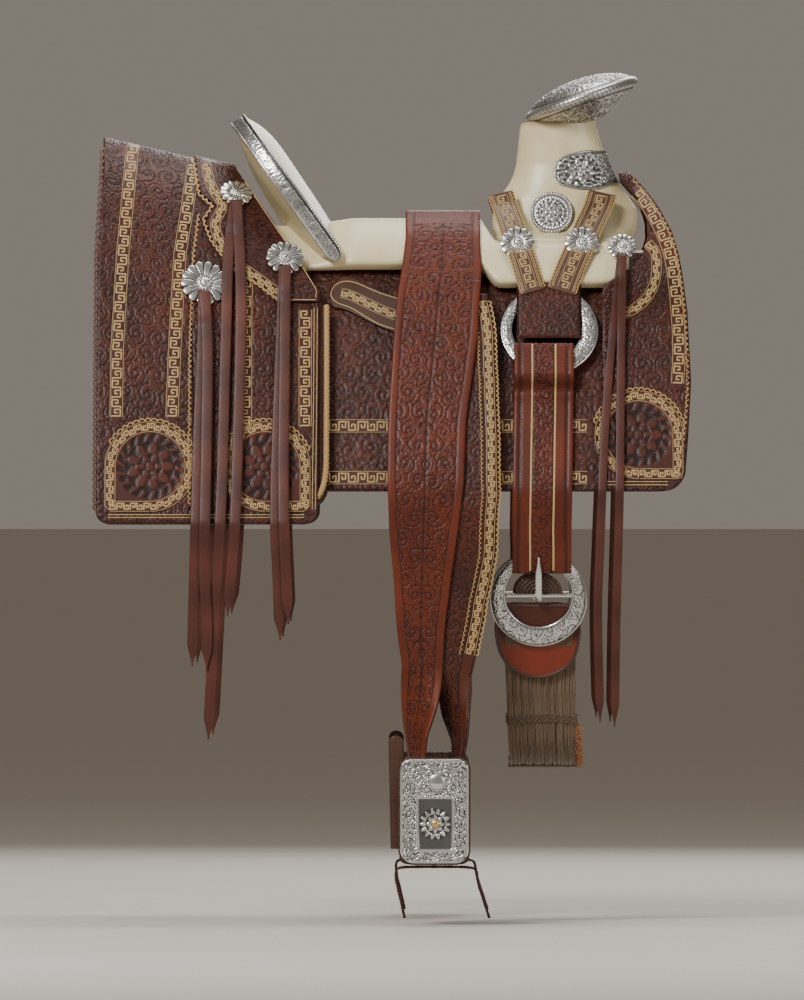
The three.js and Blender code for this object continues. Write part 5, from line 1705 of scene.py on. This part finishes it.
def both_blended(piece, name, material, first, second, start, end, nodes=(), slot=None):
    """Both sides of a piece that bends across one joint; start and end are off-side points in mm."""
    for side, sign in (("off", 1), ("near", -1)):
        obj = make_mesh(name.format(s=side), np.concatenate(piece.points), piece.faces, material,
                        np.concatenate(piece.colours), sign < 0)
        turn = lambda p: (p[0] * MM, sign * p[1] * MM, p[2] * MM)
        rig.blend(obj, first.format(s=side), second.format(s=side), turn(start), turn(end))
        if nodes:
            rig.replaces(obj, *[n.format(s=side) for n in nodes])
        if slot:
            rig.slot(obj, slot)


def leather_y(z, off):
    """How far out the stirrup leathers hang at a height."""
    return float(layer_at(np.array(SEAT_RIDGE), np.array(max(float(z), SKIRT_BOTTOM)), off)[0])


LOOP_WRAP = [(50, 13.9), (34, 13.85), (20, 13.85), (9, 13.9), (6, 18), (5.5, 26), (6.2, 34), (9, 39.6),
             (14, 40.4), (24, 40.5), (36, 40.5), (48, 40.6), (62, 41.2), (76, 42.0)]
stations = []
for t, off in LOOP_WRAP:
    y, z, _, _ = layer(np.array(SEAT_RIDGE), np.array(float(t)), off)
    stations.append(((54, -float(y), float(z)), (1, 0, 0), 94.0))


OUTER_EDGES = [(36, 1.5, 102.5), (0, -4, 100), (-40, -7.5, 97.5), (-90, -11, 91), (-150, -14.5, 83),
               (-225, -16, 80), (-290, -13.5, 72), (-350, -8, 63.5), (-410, -4, 56), (-460, 2.5, 53)]
stations = stations[:-3]
stations += [(((left + right) / 2, -leather_y(z, 39.5 - 1.5 * min(1, (36 - z) / 80)), z), (1, 0, 0),
              right - left)
             for z, left, right in OUTER_EDGES]
stations += [((24, -244.5, -505), (math.cos(0.6), -math.sin(0.6), 0), 54),
             ((20, -243.5, -545), (math.cos(1.05), -math.sin(1.05), 0), 54),
             ((22, -242, -582), (0.3, -0.954, 0), 54), ((29, -242, -607), (0.05, -1, 0), 54),
             ((46, -242, -616), (0, -1, 0), 54), ((58, -242, -611), (0, -1, 0), 54)]


line, _, _, _, leather_run = strap_frames(stations, 1.5)
seam = int(np.argmin(np.abs(line[:, 2] - 30) + 1000 * (line[:, 1] > -100)))
SEAM_RUN = float(leather_run[seam])
TOP_RUN = float(leather_run[int(np.argmax(line[:, 2]))])


def outer_relief(a, b):
    """Leaves in two mirrored halves down the middle, plain at the fold and along both edges."""
    half = np.interp(a, leather_run, strap_frames(stations, 1.5)[3]) / 2
    carve = floral(np.abs(b) + 300, a, 27.0, 57)
    spine = smoothstep(0.6, 1.6, np.abs(b)) * 0.8 + 0.2
    border = smoothstep(0.3, 1.0, np.abs(np.abs(b) - half + 10))
    plain = (np.abs(b) > half - 10) | (a < TOP_RUN + 34)
    return np.where(plain, 0.92, carve * spine) * border


place, run, width = strap_surface(stations, 4.0, (0, -1, 0.0))
raised, flat = (place(np.array(300.0), np.array(0.0), np.array(h))[1] for h in (5.0, 0.0))
if raised >= flat:
    place, run, width = strap_surface(stations, 4.0, (0, 1, 0.0))
for label, start, end, pair, near, far, nodes in (
        ("leather_loop", 0.0, SEAM_RUN, ("saddle", "{s}_leather_hinge"), (54, -119, 62), (54, -129, 32),
         ["{s}_leather_loop"]),
        ("stirrup_leather", SEAM_RUN, float(run[-1]), ("{s}_leather_hinge", "{s}_leathers"), (54, -131, 28),
         (54, -146, -34),
         ["{s}_stirrup_leather"])):
    rows, columns = int((end - start) / 1.5) + 1, 66
    a = np.linspace(start, end, rows)[:, None] + np.zeros((1, columns))
    b = np.linspace(-1, 1, columns)[None, :] + np.zeros((rows, 1))
    mm = b * np.interp(a, run, width) / 2
    carve = outer_relief(a, mm)
    crown = (1 - np.clip((1 - np.abs(b)) * np.interp(a, run, width) / 2 / 3.0, 0, 1)) ** 2
    part = Pieces()
    # Painted shade in the cut ground and painted highlight on the raised leather, through the tool colour.
    slab(part, place(a, b, -1.0 * (1 - carve) - crown), place(a, b, np.full(a.shape, -4.0)),
         0.08 + 0.92 * carve, 0.35)
    both_blended(part, "{s}_%s_leather" % label, RUSSET, *pair, near, far, nodes, "brown_leather")

# The billet end behind the stirrup, with its rounded tip upward.
billet = Pieces()
rows = np.linspace(0, 142, 90)
half = 9.5 * np.sqrt(np.clip(1 - np.clip(1 - rows / 9, 0, 1) ** 2, 0.02, 1))
cross = np.linspace(-1, 1, 16)
bx = -5 + half[:, None] * cross[None, :] + 0.02 * rows[:, None]
bz = -545 - rows[:, None] + 0 * bx
rise = 1.0 * (1 - np.abs(cross[None, :]) ** 4) + 0 * bx
keys = 0.75 + 0.25 * (np.mod(rows, 9) > 2)[:, None] + 0 * bx
billet_shade = keys * (0.55 + 0.45 * (np.abs(cross) < 0.75))[None, :]
slab(billet, np.stack([bx, -250 - rise, bz], -1), np.stack([bx, -247 + 0 * bx, bz], -1), billet_shade, 0.4)
billet.both("{s}_billet_end_leather", UMBER, "{s}_leathers", slot="brown_leather")

# Fender: the broad inner leather.
INNER_EDGES = [(8, 8, 110), (-37, 2, 119), (-100, -8, 121.5), (-170, -8, 123.5), (-250, -6, 125),
               (-325, 20, 121), (-380, 44, 108), (-425, 48, 100), (-470, 50, 90)]
stations = [(((left + right) / 2, -leather_y(z, 32.5), z), (1, 0, 0), right - left)
            for z, left, right in INNER_EDGES]
stations += [((69, -238.5, -510), (math.cos(0.62), -math.sin(0.62), 0), 46),
             ((74, -240, -550), (math.cos(1.15), -math.sin(1.15), 0), 48),
             ((72, -241.5, -585), (0.15, -0.99, 0), 48)]
fender_place, fender_run, fender_width = strap_surface(stations, 3.4, (0, -1, 0))
flip = float(np.sign(fender_place(np.array(100.0), np.array(1.0), np.array(0.0))[0]
                     - fender_place(np.array(100.0), np.array(-1.0), np.array(0.0))[0]))


def fender_relief(a, b):
    half = np.interp(a, fender_run, fender_width) / 2
    from_front = half - flip * b
    band = (from_front > 3) & (from_front < 15.5)
    rails = smoothstep(0.3, 1.0, np.abs(from_front - 16.5)) * smoothstep(0.3, 1.0, np.abs(from_front - 2.4))
    return np.where(band, 0.85, floral(b + 120, a + 30, 25.0, 61)) * rails


fender = Pieces()
carved_strap(fender, stations, 3.4, fender_relief, 1.6, (0, -1, 0))
fender.both("{s}_fender_leather", PLUM, "{s}_leathers", ["{s}_fender"], "tooled_leather")
fender_surface = flat_map(fender_place)
stitch, lace = Pieces(), Pieces()
a = np.arange(12, 478, 6.0)
half = np.interp(a, fender_run, fender_width) / 2
key_band(stitch, np.stack([a, flip * (half - 9.2)], -1), fender_surface, half=4.8)
scallops(lace, np.stack([a, flip * (half - 1.0)], -1), fender_surface, 3.0, 6.8, flip, lift=-0.8, width=1.8)
scallops(lace, np.stack([a, flip * (half - 19.5)], -1), fender_surface, 2.6, 6.0, -flip, width=1.2)
stitch.both("{s}_fender_stitching", THREAD, "{s}_leathers", slot="thong")
lace.both("{s}_fender_lace", GOLD, "{s}_leathers", slot="thong")


# ---------------------------------------------------------------- stirrups

def rounded_box(x0, x1, z0, z1, top_radius, low_radius):
    """A side-view outline with rounded corners, anticlockwise."""
    count = 10
    parts = [arc(x1 - low_radius, z0 + low_radius, low_radius, 270, 360, count),
             arc(x1 - top_radius, z1 - top_radius, top_radius, 0, 90, count),
             arc(x0 + top_radius, z1 - top_radius, top_radius, 90, 180, count),
             arc(x0 + low_radius, z0 + low_radius, low_radius, 180, 270, count)]
    return resample(np.concatenate(parts), 2.0, True)


def board(piece, outline, y_out, y_in, relief, shade_low=0.3, edge=1.4, depth=0.9, rings=60, facing=1):
    """A flat board with a carved face, drawn in rings toward its middle; facing -1 faces the horse."""
    middle = outline.mean(0)
    share = np.concatenate([[0.0], np.linspace(0.02, 1, rings - 1)])[:, None, None]
    flat = middle + (outline - middle)[None] * share
    x, z = flat[..., 0], flat[..., 1]
    reach = np.linalg.norm(outline - middle, axis=1)[None, :] * (1 - share[..., 0])
    carve = relief(x, z)
    y = -y_out + facing * (edge * (1 - np.clip(reach / 2.4, 0, 1)) ** 2 + depth * (1 - carve))
    front = np.stack([x, y, z], -1)
    back = np.stack([x[-1], np.full(len(outline), -y_in), z[-1]], -1)[None]
    hub = np.stack([np.full(len(outline), middle[0]), np.full(len(outline), -y_in),
                    np.full(len(outline), middle[1])], -1)[None]
    points = np.concatenate([front, back, hub]).reshape(-1, 3)
    faces = grid_faces(rings + 2, len(outline), False, True)
    split = (rings - 1) * len(outline)
    head = outward(points, faces[:split], np.array([0, -1.0 * facing, 0]))
    tail = faces[split:] if np.array_equal(head[0], faces[0]) else faces[split:, ::-1]
    # The colour follows the carving: on leather that is painted shade in the cut ground and painted highlight on the
    # raised leather; on the silver plate it is oxide in the cuts.
    shade = np.concatenate([(shade_low + (1 - shade_low) * carve).reshape(-1),
                            np.full(2 * len(outline), 0.45)])
    piece.add(points, [head, tail], shade)


BOARD_OUT, BOARD_IN = 73, 63.2
OUT = rounded_box(-2, 88, -706, -572, 14, 18)
stirrup = Pieces()


def leaf(x, z):
    return floral(x + 90, z + 900, 30.0, 71)


board(stirrup, OUT, STIRRUP_Y + BOARD_OUT, STIRRUP_Y + BOARD_IN, leaf, 0.2)
board(stirrup, OUT, STIRRUP_Y - BOARD_OUT, STIRRUP_Y - BOARD_IN, leaf, 0.2, facing=-1)
# Tread, with a ribbed foot surface.
x = np.linspace(-1, 87, 90)[:, None] + np.zeros((1, 60))
y = np.linspace(-63.4, 63.4, 60)[None, :] + np.zeros((90, 1))
ribs = 0.5 + 0.5 * np.cos(x * TAU / 6.5)
rise = -692 + 0.7 * ribs - 12 * np.clip((np.abs(x - 43) - 34) / 12, 0, 1) ** 3
top = np.stack([x, -STIRRUP_Y + y, rise], -1)
under = np.stack([x, -STIRRUP_Y + y, -705.6 + 8 * np.clip((np.abs(x - 43) - 30) / 16, 0, 1) ** 2.5], -1)
# Painted shade: the grooves between the ribs are darker.
slab(stirrup, top, under, 0.3 + 0.5 * ribs, 0.4)
stirrup.both("{s}_stirrup_body_leather", UMBER, "{s}_stirrup_body", ["{s}_stirrup"], "brown_leather")

# Side plate: leaf border, sunk field and a rosette.
PLATE = rounded_box(0, 86, -704, -574, 13, 17)


def plate_relief(x, z):
    edge = np.minimum(np.minimum(x, 86 - x), np.minimum(z + 704, -574 - z))
    border = smoothstep(0.35, 0.8, floral(x + 20, z + 800, 19.0, 83))
    field = (x > 22) & (x < 66) & (z > -688) & (z < -622)
    frame_line = np.minimum(np.minimum(x - 22, 66 - x), np.minimum(z + 688, -622 - z))
    carve = np.where(field, 0.12, 0.02 + 0.98 * border)
    carve = np.where(np.abs(frame_line) < 1.4, 1.0, carve)
    radius = np.hypot(x - 44, z + 655)
    turn = np.arctan2(z + 655, x - 44)
    flower = smoothstep(0.0, 0.12, 0.86 + 0.14 * np.cos(14 * turn) - radius / 20.5)
    petals = flower * smoothstep(0.1, 0.4, np.abs(np.cos(7 * turn)))
    inner = smoothstep(0.0, 0.12, 0.86 + 0.14 * np.cos(8 * turn) - radius / 12)
    petals = np.maximum(petals * (radius > 12.6), inner * smoothstep(0.1, 0.4, np.abs(np.cos(4 * turn))))
    carve = np.where(field & (radius < 20.4), np.maximum(petals, 0.05), carve)
    return np.where(edge < 3.2, 0.95, carve)


plate = Pieces()
board(plate, PLATE, STIRRUP_Y + 76.6, STIRRUP_Y + 73.5, plate_relief, 0.05, 1.2, 1.3, 110)
plate.both("{s}_stirrup_plate_silver", SILVER, "{s}_stirrup_body", ["{s}_stirrup_plate"], "silver")

dot, bolt = Pieces(), Pieces()
dish(dot, local_frame((44, -(STIRRUP_Y + 75.4), -655), (0, -1, 0)), lambda t: 6.0 + 0 * t,
     lambda s, t: 3.4 * np.sqrt(np.clip(1 - s**2, 0, 1)), lambda s, t: 1.0 - 0.5 * (np.abs(s - 0.8) < 0.08),
     0.8, 14, 48)
dot.both("{s}_stirrup_brass_stud", BRASS, "{s}_stirrup_body", slot="silver")
for sense, reach in ((-1, STIRRUP_Y + 77.2), (1, STIRRUP_Y - 73.6)):
    dish(bolt, local_frame((BOLT_X, -reach, BOLT_Z), (0, sense, 0)), lambda t: 11.0 + 0 * t,
         lambda s, t: 1.2 + 3.4 * np.sqrt(np.clip(1 - (s * 0.97) ** 2, 0, 1)),
         lambda s, t: 1.0 - 0.6 * ((np.abs(s - 0.82) < 0.06)
                                   | ((s < 0.62) & (np.abs(s * np.sin(t)) < 0.09))), 1.0, 20, 72)
rod = np.stack([np.full(40, BOLT_X), np.linspace(-(STIRRUP_Y + 77), -(STIRRUP_Y - 77), 40),
                np.full(40, BOLT_Z)], -1)
tube(bolt, rod, 6.8, 24, up=(0, 0, 1))
bolt.both("{s}_stirrup_bolt_silver", SILVER, "{s}_stirrup_body", ["{s}_stirrup_bolt"], "silver")


# ---------------------------------------------------------------- free thongs

def thong_mesh(piece, line, width, thick, direction, shade=1.0, braid=0.0):
    """A flat thong along a centreline; direction is its width direction."""
    tangent = np.gradient(line, axis=0)
    tangent /= np.linalg.norm(tangent, axis=1, keepdims=True)
    side = np.broadcast_to(np.asarray(direction, float), line.shape).copy()
    side -= tangent * np.sum(side * tangent, 1, keepdims=True)
    side /= np.linalg.norm(side, axis=1, keepdims=True)
    normal = np.cross(tangent, side)
    angle = np.linspace(0, TAU, 16, endpoint=False)
    run = np.arange(len(line)) * np.linalg.norm(line[1] - line[0])
    taper = np.clip((run[-1] - run) / 26, 0.16, 1)
    across = np.sign(np.cos(angle)) * np.abs(np.cos(angle)) ** 0.5 * width / 2
    depth = np.sign(np.sin(angle)) * np.abs(np.sin(angle)) ** 0.7 * thick / 2
    plait = 1 + braid * np.cos(TAU * run[:, None] / 7 + across[None, :] * 0.9 * np.sign(depth)[None, :])
    points = (line[:, None] + side[:, None] * (across[None, :, None] * taper[:, None, None])
              + normal[:, None] * (depth[None, :] * plait)[..., None])
    faces = grid_faces(len(line), 16, False, True)
    flat = points.reshape(-1, 3)
    middle = np.repeat(line, 16, 0)[faces[:, 0]]
    faces = outward(flat, faces, flat[faces[:, 0]] - middle)
    caps = np.arange(16)
    turned_over = np.array_equal(faces[0], grid_faces(len(line), 16, False, True)[0])
    blocks = [faces, caps[None, ::1 if not turned_over else -1].copy(),
              (caps[None, ::-1 if not turned_over else 1] + (len(line) - 1) * 16).copy()]
    around = 0.72 + 0.28 * (np.abs(np.cos(angle)) < 0.85)
    tone = shade * around[None, :] * (0.85 + 0.15 * np.sin(run / 11))[:, None]
    # Painted shade: darker in the braid's grooves.
    tone = tone * (0.6 + 0.4 * np.clip(plait, 0, 1)) if braid else tone
    piece.add(flat, blocks, tone.reshape(-1))


def free_cord(name, line, width, thick, direction, material, body, nodes, slot, braid=0.0):
    """The off-side thong and its near-side mirror, each declared as a free cord."""
    piece = Pieces()
    thong_mesh(piece, line, width, thick, direction, 0.9, braid)
    length = float(np.linalg.norm(np.diff(line, axis=0), axis=1).sum()) * MM
    for obj, sign in zip(piece.both(name, material, body, nodes, slot), (1, -1)):
        path = line * MM * np.array([1, sign, 1])
        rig.cord(obj, exit=tuple(path[0]), length=length, diameter=width * MM, far_end="bare",
                stiffness="limp",
                lay="hanging", path=path[::3].tolist() + [path[-1].tolist()])


STRINGS = [
    ("rear_low", rear_ridge, COVER_BOTTOM, 30.6, 14, 30, 24.9,
     [(-260, -458), (-258, -380), (-256, -300), (-252, -150), (-248, -50), (-247, 14)],
     [(-246, 14), (-242, -60), (-243, -200), (-245, -330), (-242, -400), (-242, -462)]),
    ("rear_high", rear_ridge, COVER_BOTTOM, 30.6, 14, 21, 29,
     [(-240, -550), (-232, -400), (-224, -250), (-219, -50), (-216, 60), (-208, 128)],
     [(-206, 128), (-200, 0), (-204, -200), (-208, -300), (-216, -395)]),
    ("rear_mid", rear_ridge, COVER_BOTTOM, 30.6, 14, 24, 29,
     [(-150, -425), (-153, -340), (-156, -250), (-150, -60), (-146, 46)],
     [(-144, 46), (-145, -80), (-146, -250), (-140, -405)]),
    ("front", front_ridge, SKIRT_BOTTOM, 18.8, 11, 18.4, 17.2,
     [(251, -528), (248, -400), (250, -325), (258, -150), (270, -20), (279, 60)],
     [(280, 60), (278, -60), (275, -250), (271, -400), (269, -534)])]


STUD_RISE = 9.0


def string_line(ridge, bottom, off, tail, extra):
    """The tail's centreline, hanging close outside the leathers and then straight down."""
    flat = smooth_path(tail, 4.0)
    z = np.maximum(flat[:, 1], bottom)
    top = tail[0][1]
    over_stud = 3.2 * smoothstep(top - 46, top - 26, flat[:, 1])
    place = layer_at(ridge(flat[:, 0], z), z, off + extra + over_stud)
    return resample(np.stack([flat[:, 0], -place[0], flat[:, 1]], -1), 4.0)


for label, ridge, bottom, off, width, radius, seat, tail_a, tail_b in STRINGS:
    lines = (string_line(ridge, bottom, off, tail_a[::-1], 0.0), string_line(ridge, bottom, off, tail_b, 3.6))
    for tag, line in zip("ab", lines):
        free_cord("{s}_%s_string_%s" % (label, tag), line, width, 2.4, (1, 0, 0), THONG, "saddle",
                  ["{s}_%s_string" % label], "thong")
    x, z = tail_a[-1]
    z += STUD_RISE
    y, _, ny, nz = (float(v) for v in layer_at(ridge(np.array(float(x)), np.array(float(z))),
                                               np.array(float(z)), seat + 1.6))
    ahead = float(layer_at(ridge(np.array(x + 10.0), np.array(float(z))), np.array(float(z)), seat + 1.6)[0])
    studs = Pieces()
    concha(studs, local_frame((x + 1, -y, z), (-(ahead - y) / 10 * ny, -ny, nz)), radius, 14)
    studs.both("{s}_%s_concha_silver" % label, SILVER, "saddle", slot="silver")

TIE_REAR = [(43, -709.6), (20, -709.8), (2, -710.6), (-4.5, -714), (-4.5, -728), (1, -752), (6, -774)]
TIE_FRONT = [(43, -709.6), (70, -709.8), (87, -710.6), (95, -714), (98, -730), (105, -752), (112, -774)]
for label, corners in (("rear", TIE_REAR), ("front", TIE_FRONT)):
    flat = smooth_path(corners, LINE_STEP)
    line = np.stack([flat[:, 0], np.full(len(flat), -STIRRUP_Y), flat[:, 1]], -1)
    free_cord("{s}_stirrup_tie_%s" % label, line, 9, 3.0, (0, 1, 0), THONG, "{s}_stirrup_body",
              ["{s}_stirrup_tie"], "thong", 0.35)


# ---------------------------------------------------------------- linings

LINING_REAR, LINING_FRONT = -292, 332
LINING_TOP, LINING_REACH = 28, 290
LINING_LOW, LINING_CORNER = -228, 30
x = np.linspace(LINING_REAR, LINING_FRONT, 210)[None, :]
s = np.linspace(0, 1, 120)[:, None]
top_layer, low_layer = (layer(np.array(SEAT_RIDGE), np.array(depth), 0.0)
                        for depth in (float(LINING_TOP), float(LINING_TOP + LINING_REACH)))
t = LINING_TOP + LINING_REACH * s
yo, zo, _, _ = layer(np.full_like(t, SEAT_RIDGE), t, 7.5)
yi = top_layer[0] + (low_layer[0] - top_layer[0]) * s + 0.15
zi = top_layer[1] + (low_layer[1] - top_layer[1]) * s
# The bottom corners are rounded.
fall = np.clip((LINING_LOW + LINING_CORNER - zo) / LINING_CORNER, 0, 1)
inset = LINING_CORNER * (1 - np.sqrt(np.clip(1 - fall**2, 0, 1)))
xx = np.clip(x, LINING_REAR + inset, LINING_FRONT - inset) + 0 * s
curl = 0.9 * (noise(xx, s * 400 + 0 * xx, 5, 91) - 0.5)
outer_face = np.stack([xx, -(yo + 0 * xx - 0.3), zo + 0 * xx], -1)
inner_face = np.stack([xx, -(yi + 0 * xx + curl * (1 - np.abs(2 * s - 1) ** 8)), zi + 0 * xx], -1)
lining = Pieces()
slab(lining, outer_face, inner_face, 1.0, 1.0)
for obj in lining.both("{s}_lining_fleece", WOOL, "saddle", ["{s}_lining"], "lining"):
    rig.padded(obj, 0.8)


# ---------------------------------------------------------------- camera, floor and light

camera = bpy.data.objects.new("camera", bpy.data.cameras.new("camera"))
bpy.context.scene.collection.objects.link(camera)
bpy.context.scene.camera = camera
VIEW_HEIGHT = 1.25
CAMERA_DISTANCE = 22.0
camera.location = (0.0025, -0.3 - CAMERA_DISTANCE, -0.25)
camera.rotation_euler = (math.radians(90), 0, 0)
camera.data.sensor_width = 36
camera.data.lens = 36 * CAMERA_DISTANCE / VIEW_HEIGHT
camera.data.clip_end = 900

FLOOR_Z = -0.782
FLOOR_SIZE = 600
STUDIO_GREY = (0.58, 0.54, 0.49)
STUDIO_GLOW = (0.95, 0.84, 0.72, 1)
GLOW_STRENGTH = 0.24


def plain_material(name, colour, roughness):
    material, _, shader = new_material(name)
    shader.inputs["Base Color"].default_value = (*colour, 1)
    shader.inputs["Roughness"].default_value = roughness
    return material


bpy.ops.mesh.primitive_plane_add(size=FLOOR_SIZE, location=(0, 0, FLOOR_Z))
floor = bpy.context.object
floor.name = "floor"
floor.data.materials.append(plain_material("studio_floor", STUDIO_GREY, 0.9))
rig.stage(floor)


def area_light(name, place, target, size, power):
    light = bpy.data.lights.new(name, "AREA")
    light.size = size
    light.energy = power
    obj = bpy.data.objects.new(name, light)
    bpy.context.scene.collection.objects.link(obj)
    obj.location = place
    direction = np.array(target) - np.array(place)
    yaw = math.atan2(direction[1], direction[0]) - math.pi / 2
    pitch = math.atan2(direction[2], math.hypot(direction[0], direction[1]))
    obj.rotation_euler = (math.pi / 2 + pitch, 0, yaw)
    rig.stage(obj)
    return obj


area_light("key", (-1.7, -3.0, 2.3), (0, 0, -0.1), 1.1, 150)
area_light("fill", (2.8, -2.8, 0.8), (0, 0, -0.2), 1.6, 34)
area_light("top", (0.2, 0.5, 3.0), (0, 0, 0), 1.6, 60)
area_light("back_fill", (0.5, 3.6, 1.6), (0, 0, -0.2), 2.2, 70)

world = bpy.data.worlds.new("studio")
bpy.context.scene.world = world
world.use_nodes = True
world.node_tree.nodes["Background"].inputs["Color"].default_value = STUDIO_GLOW
world.node_tree.nodes["Background"].inputs["Strength"].default_value = GLOW_STRENGTH

LOOK = [list(corner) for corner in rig.bounds()]
with open("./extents.json", "w") as file:
    json.dump({"cad": [list(corner) for corner in CAD_BOX], "look": LOOK}, file)
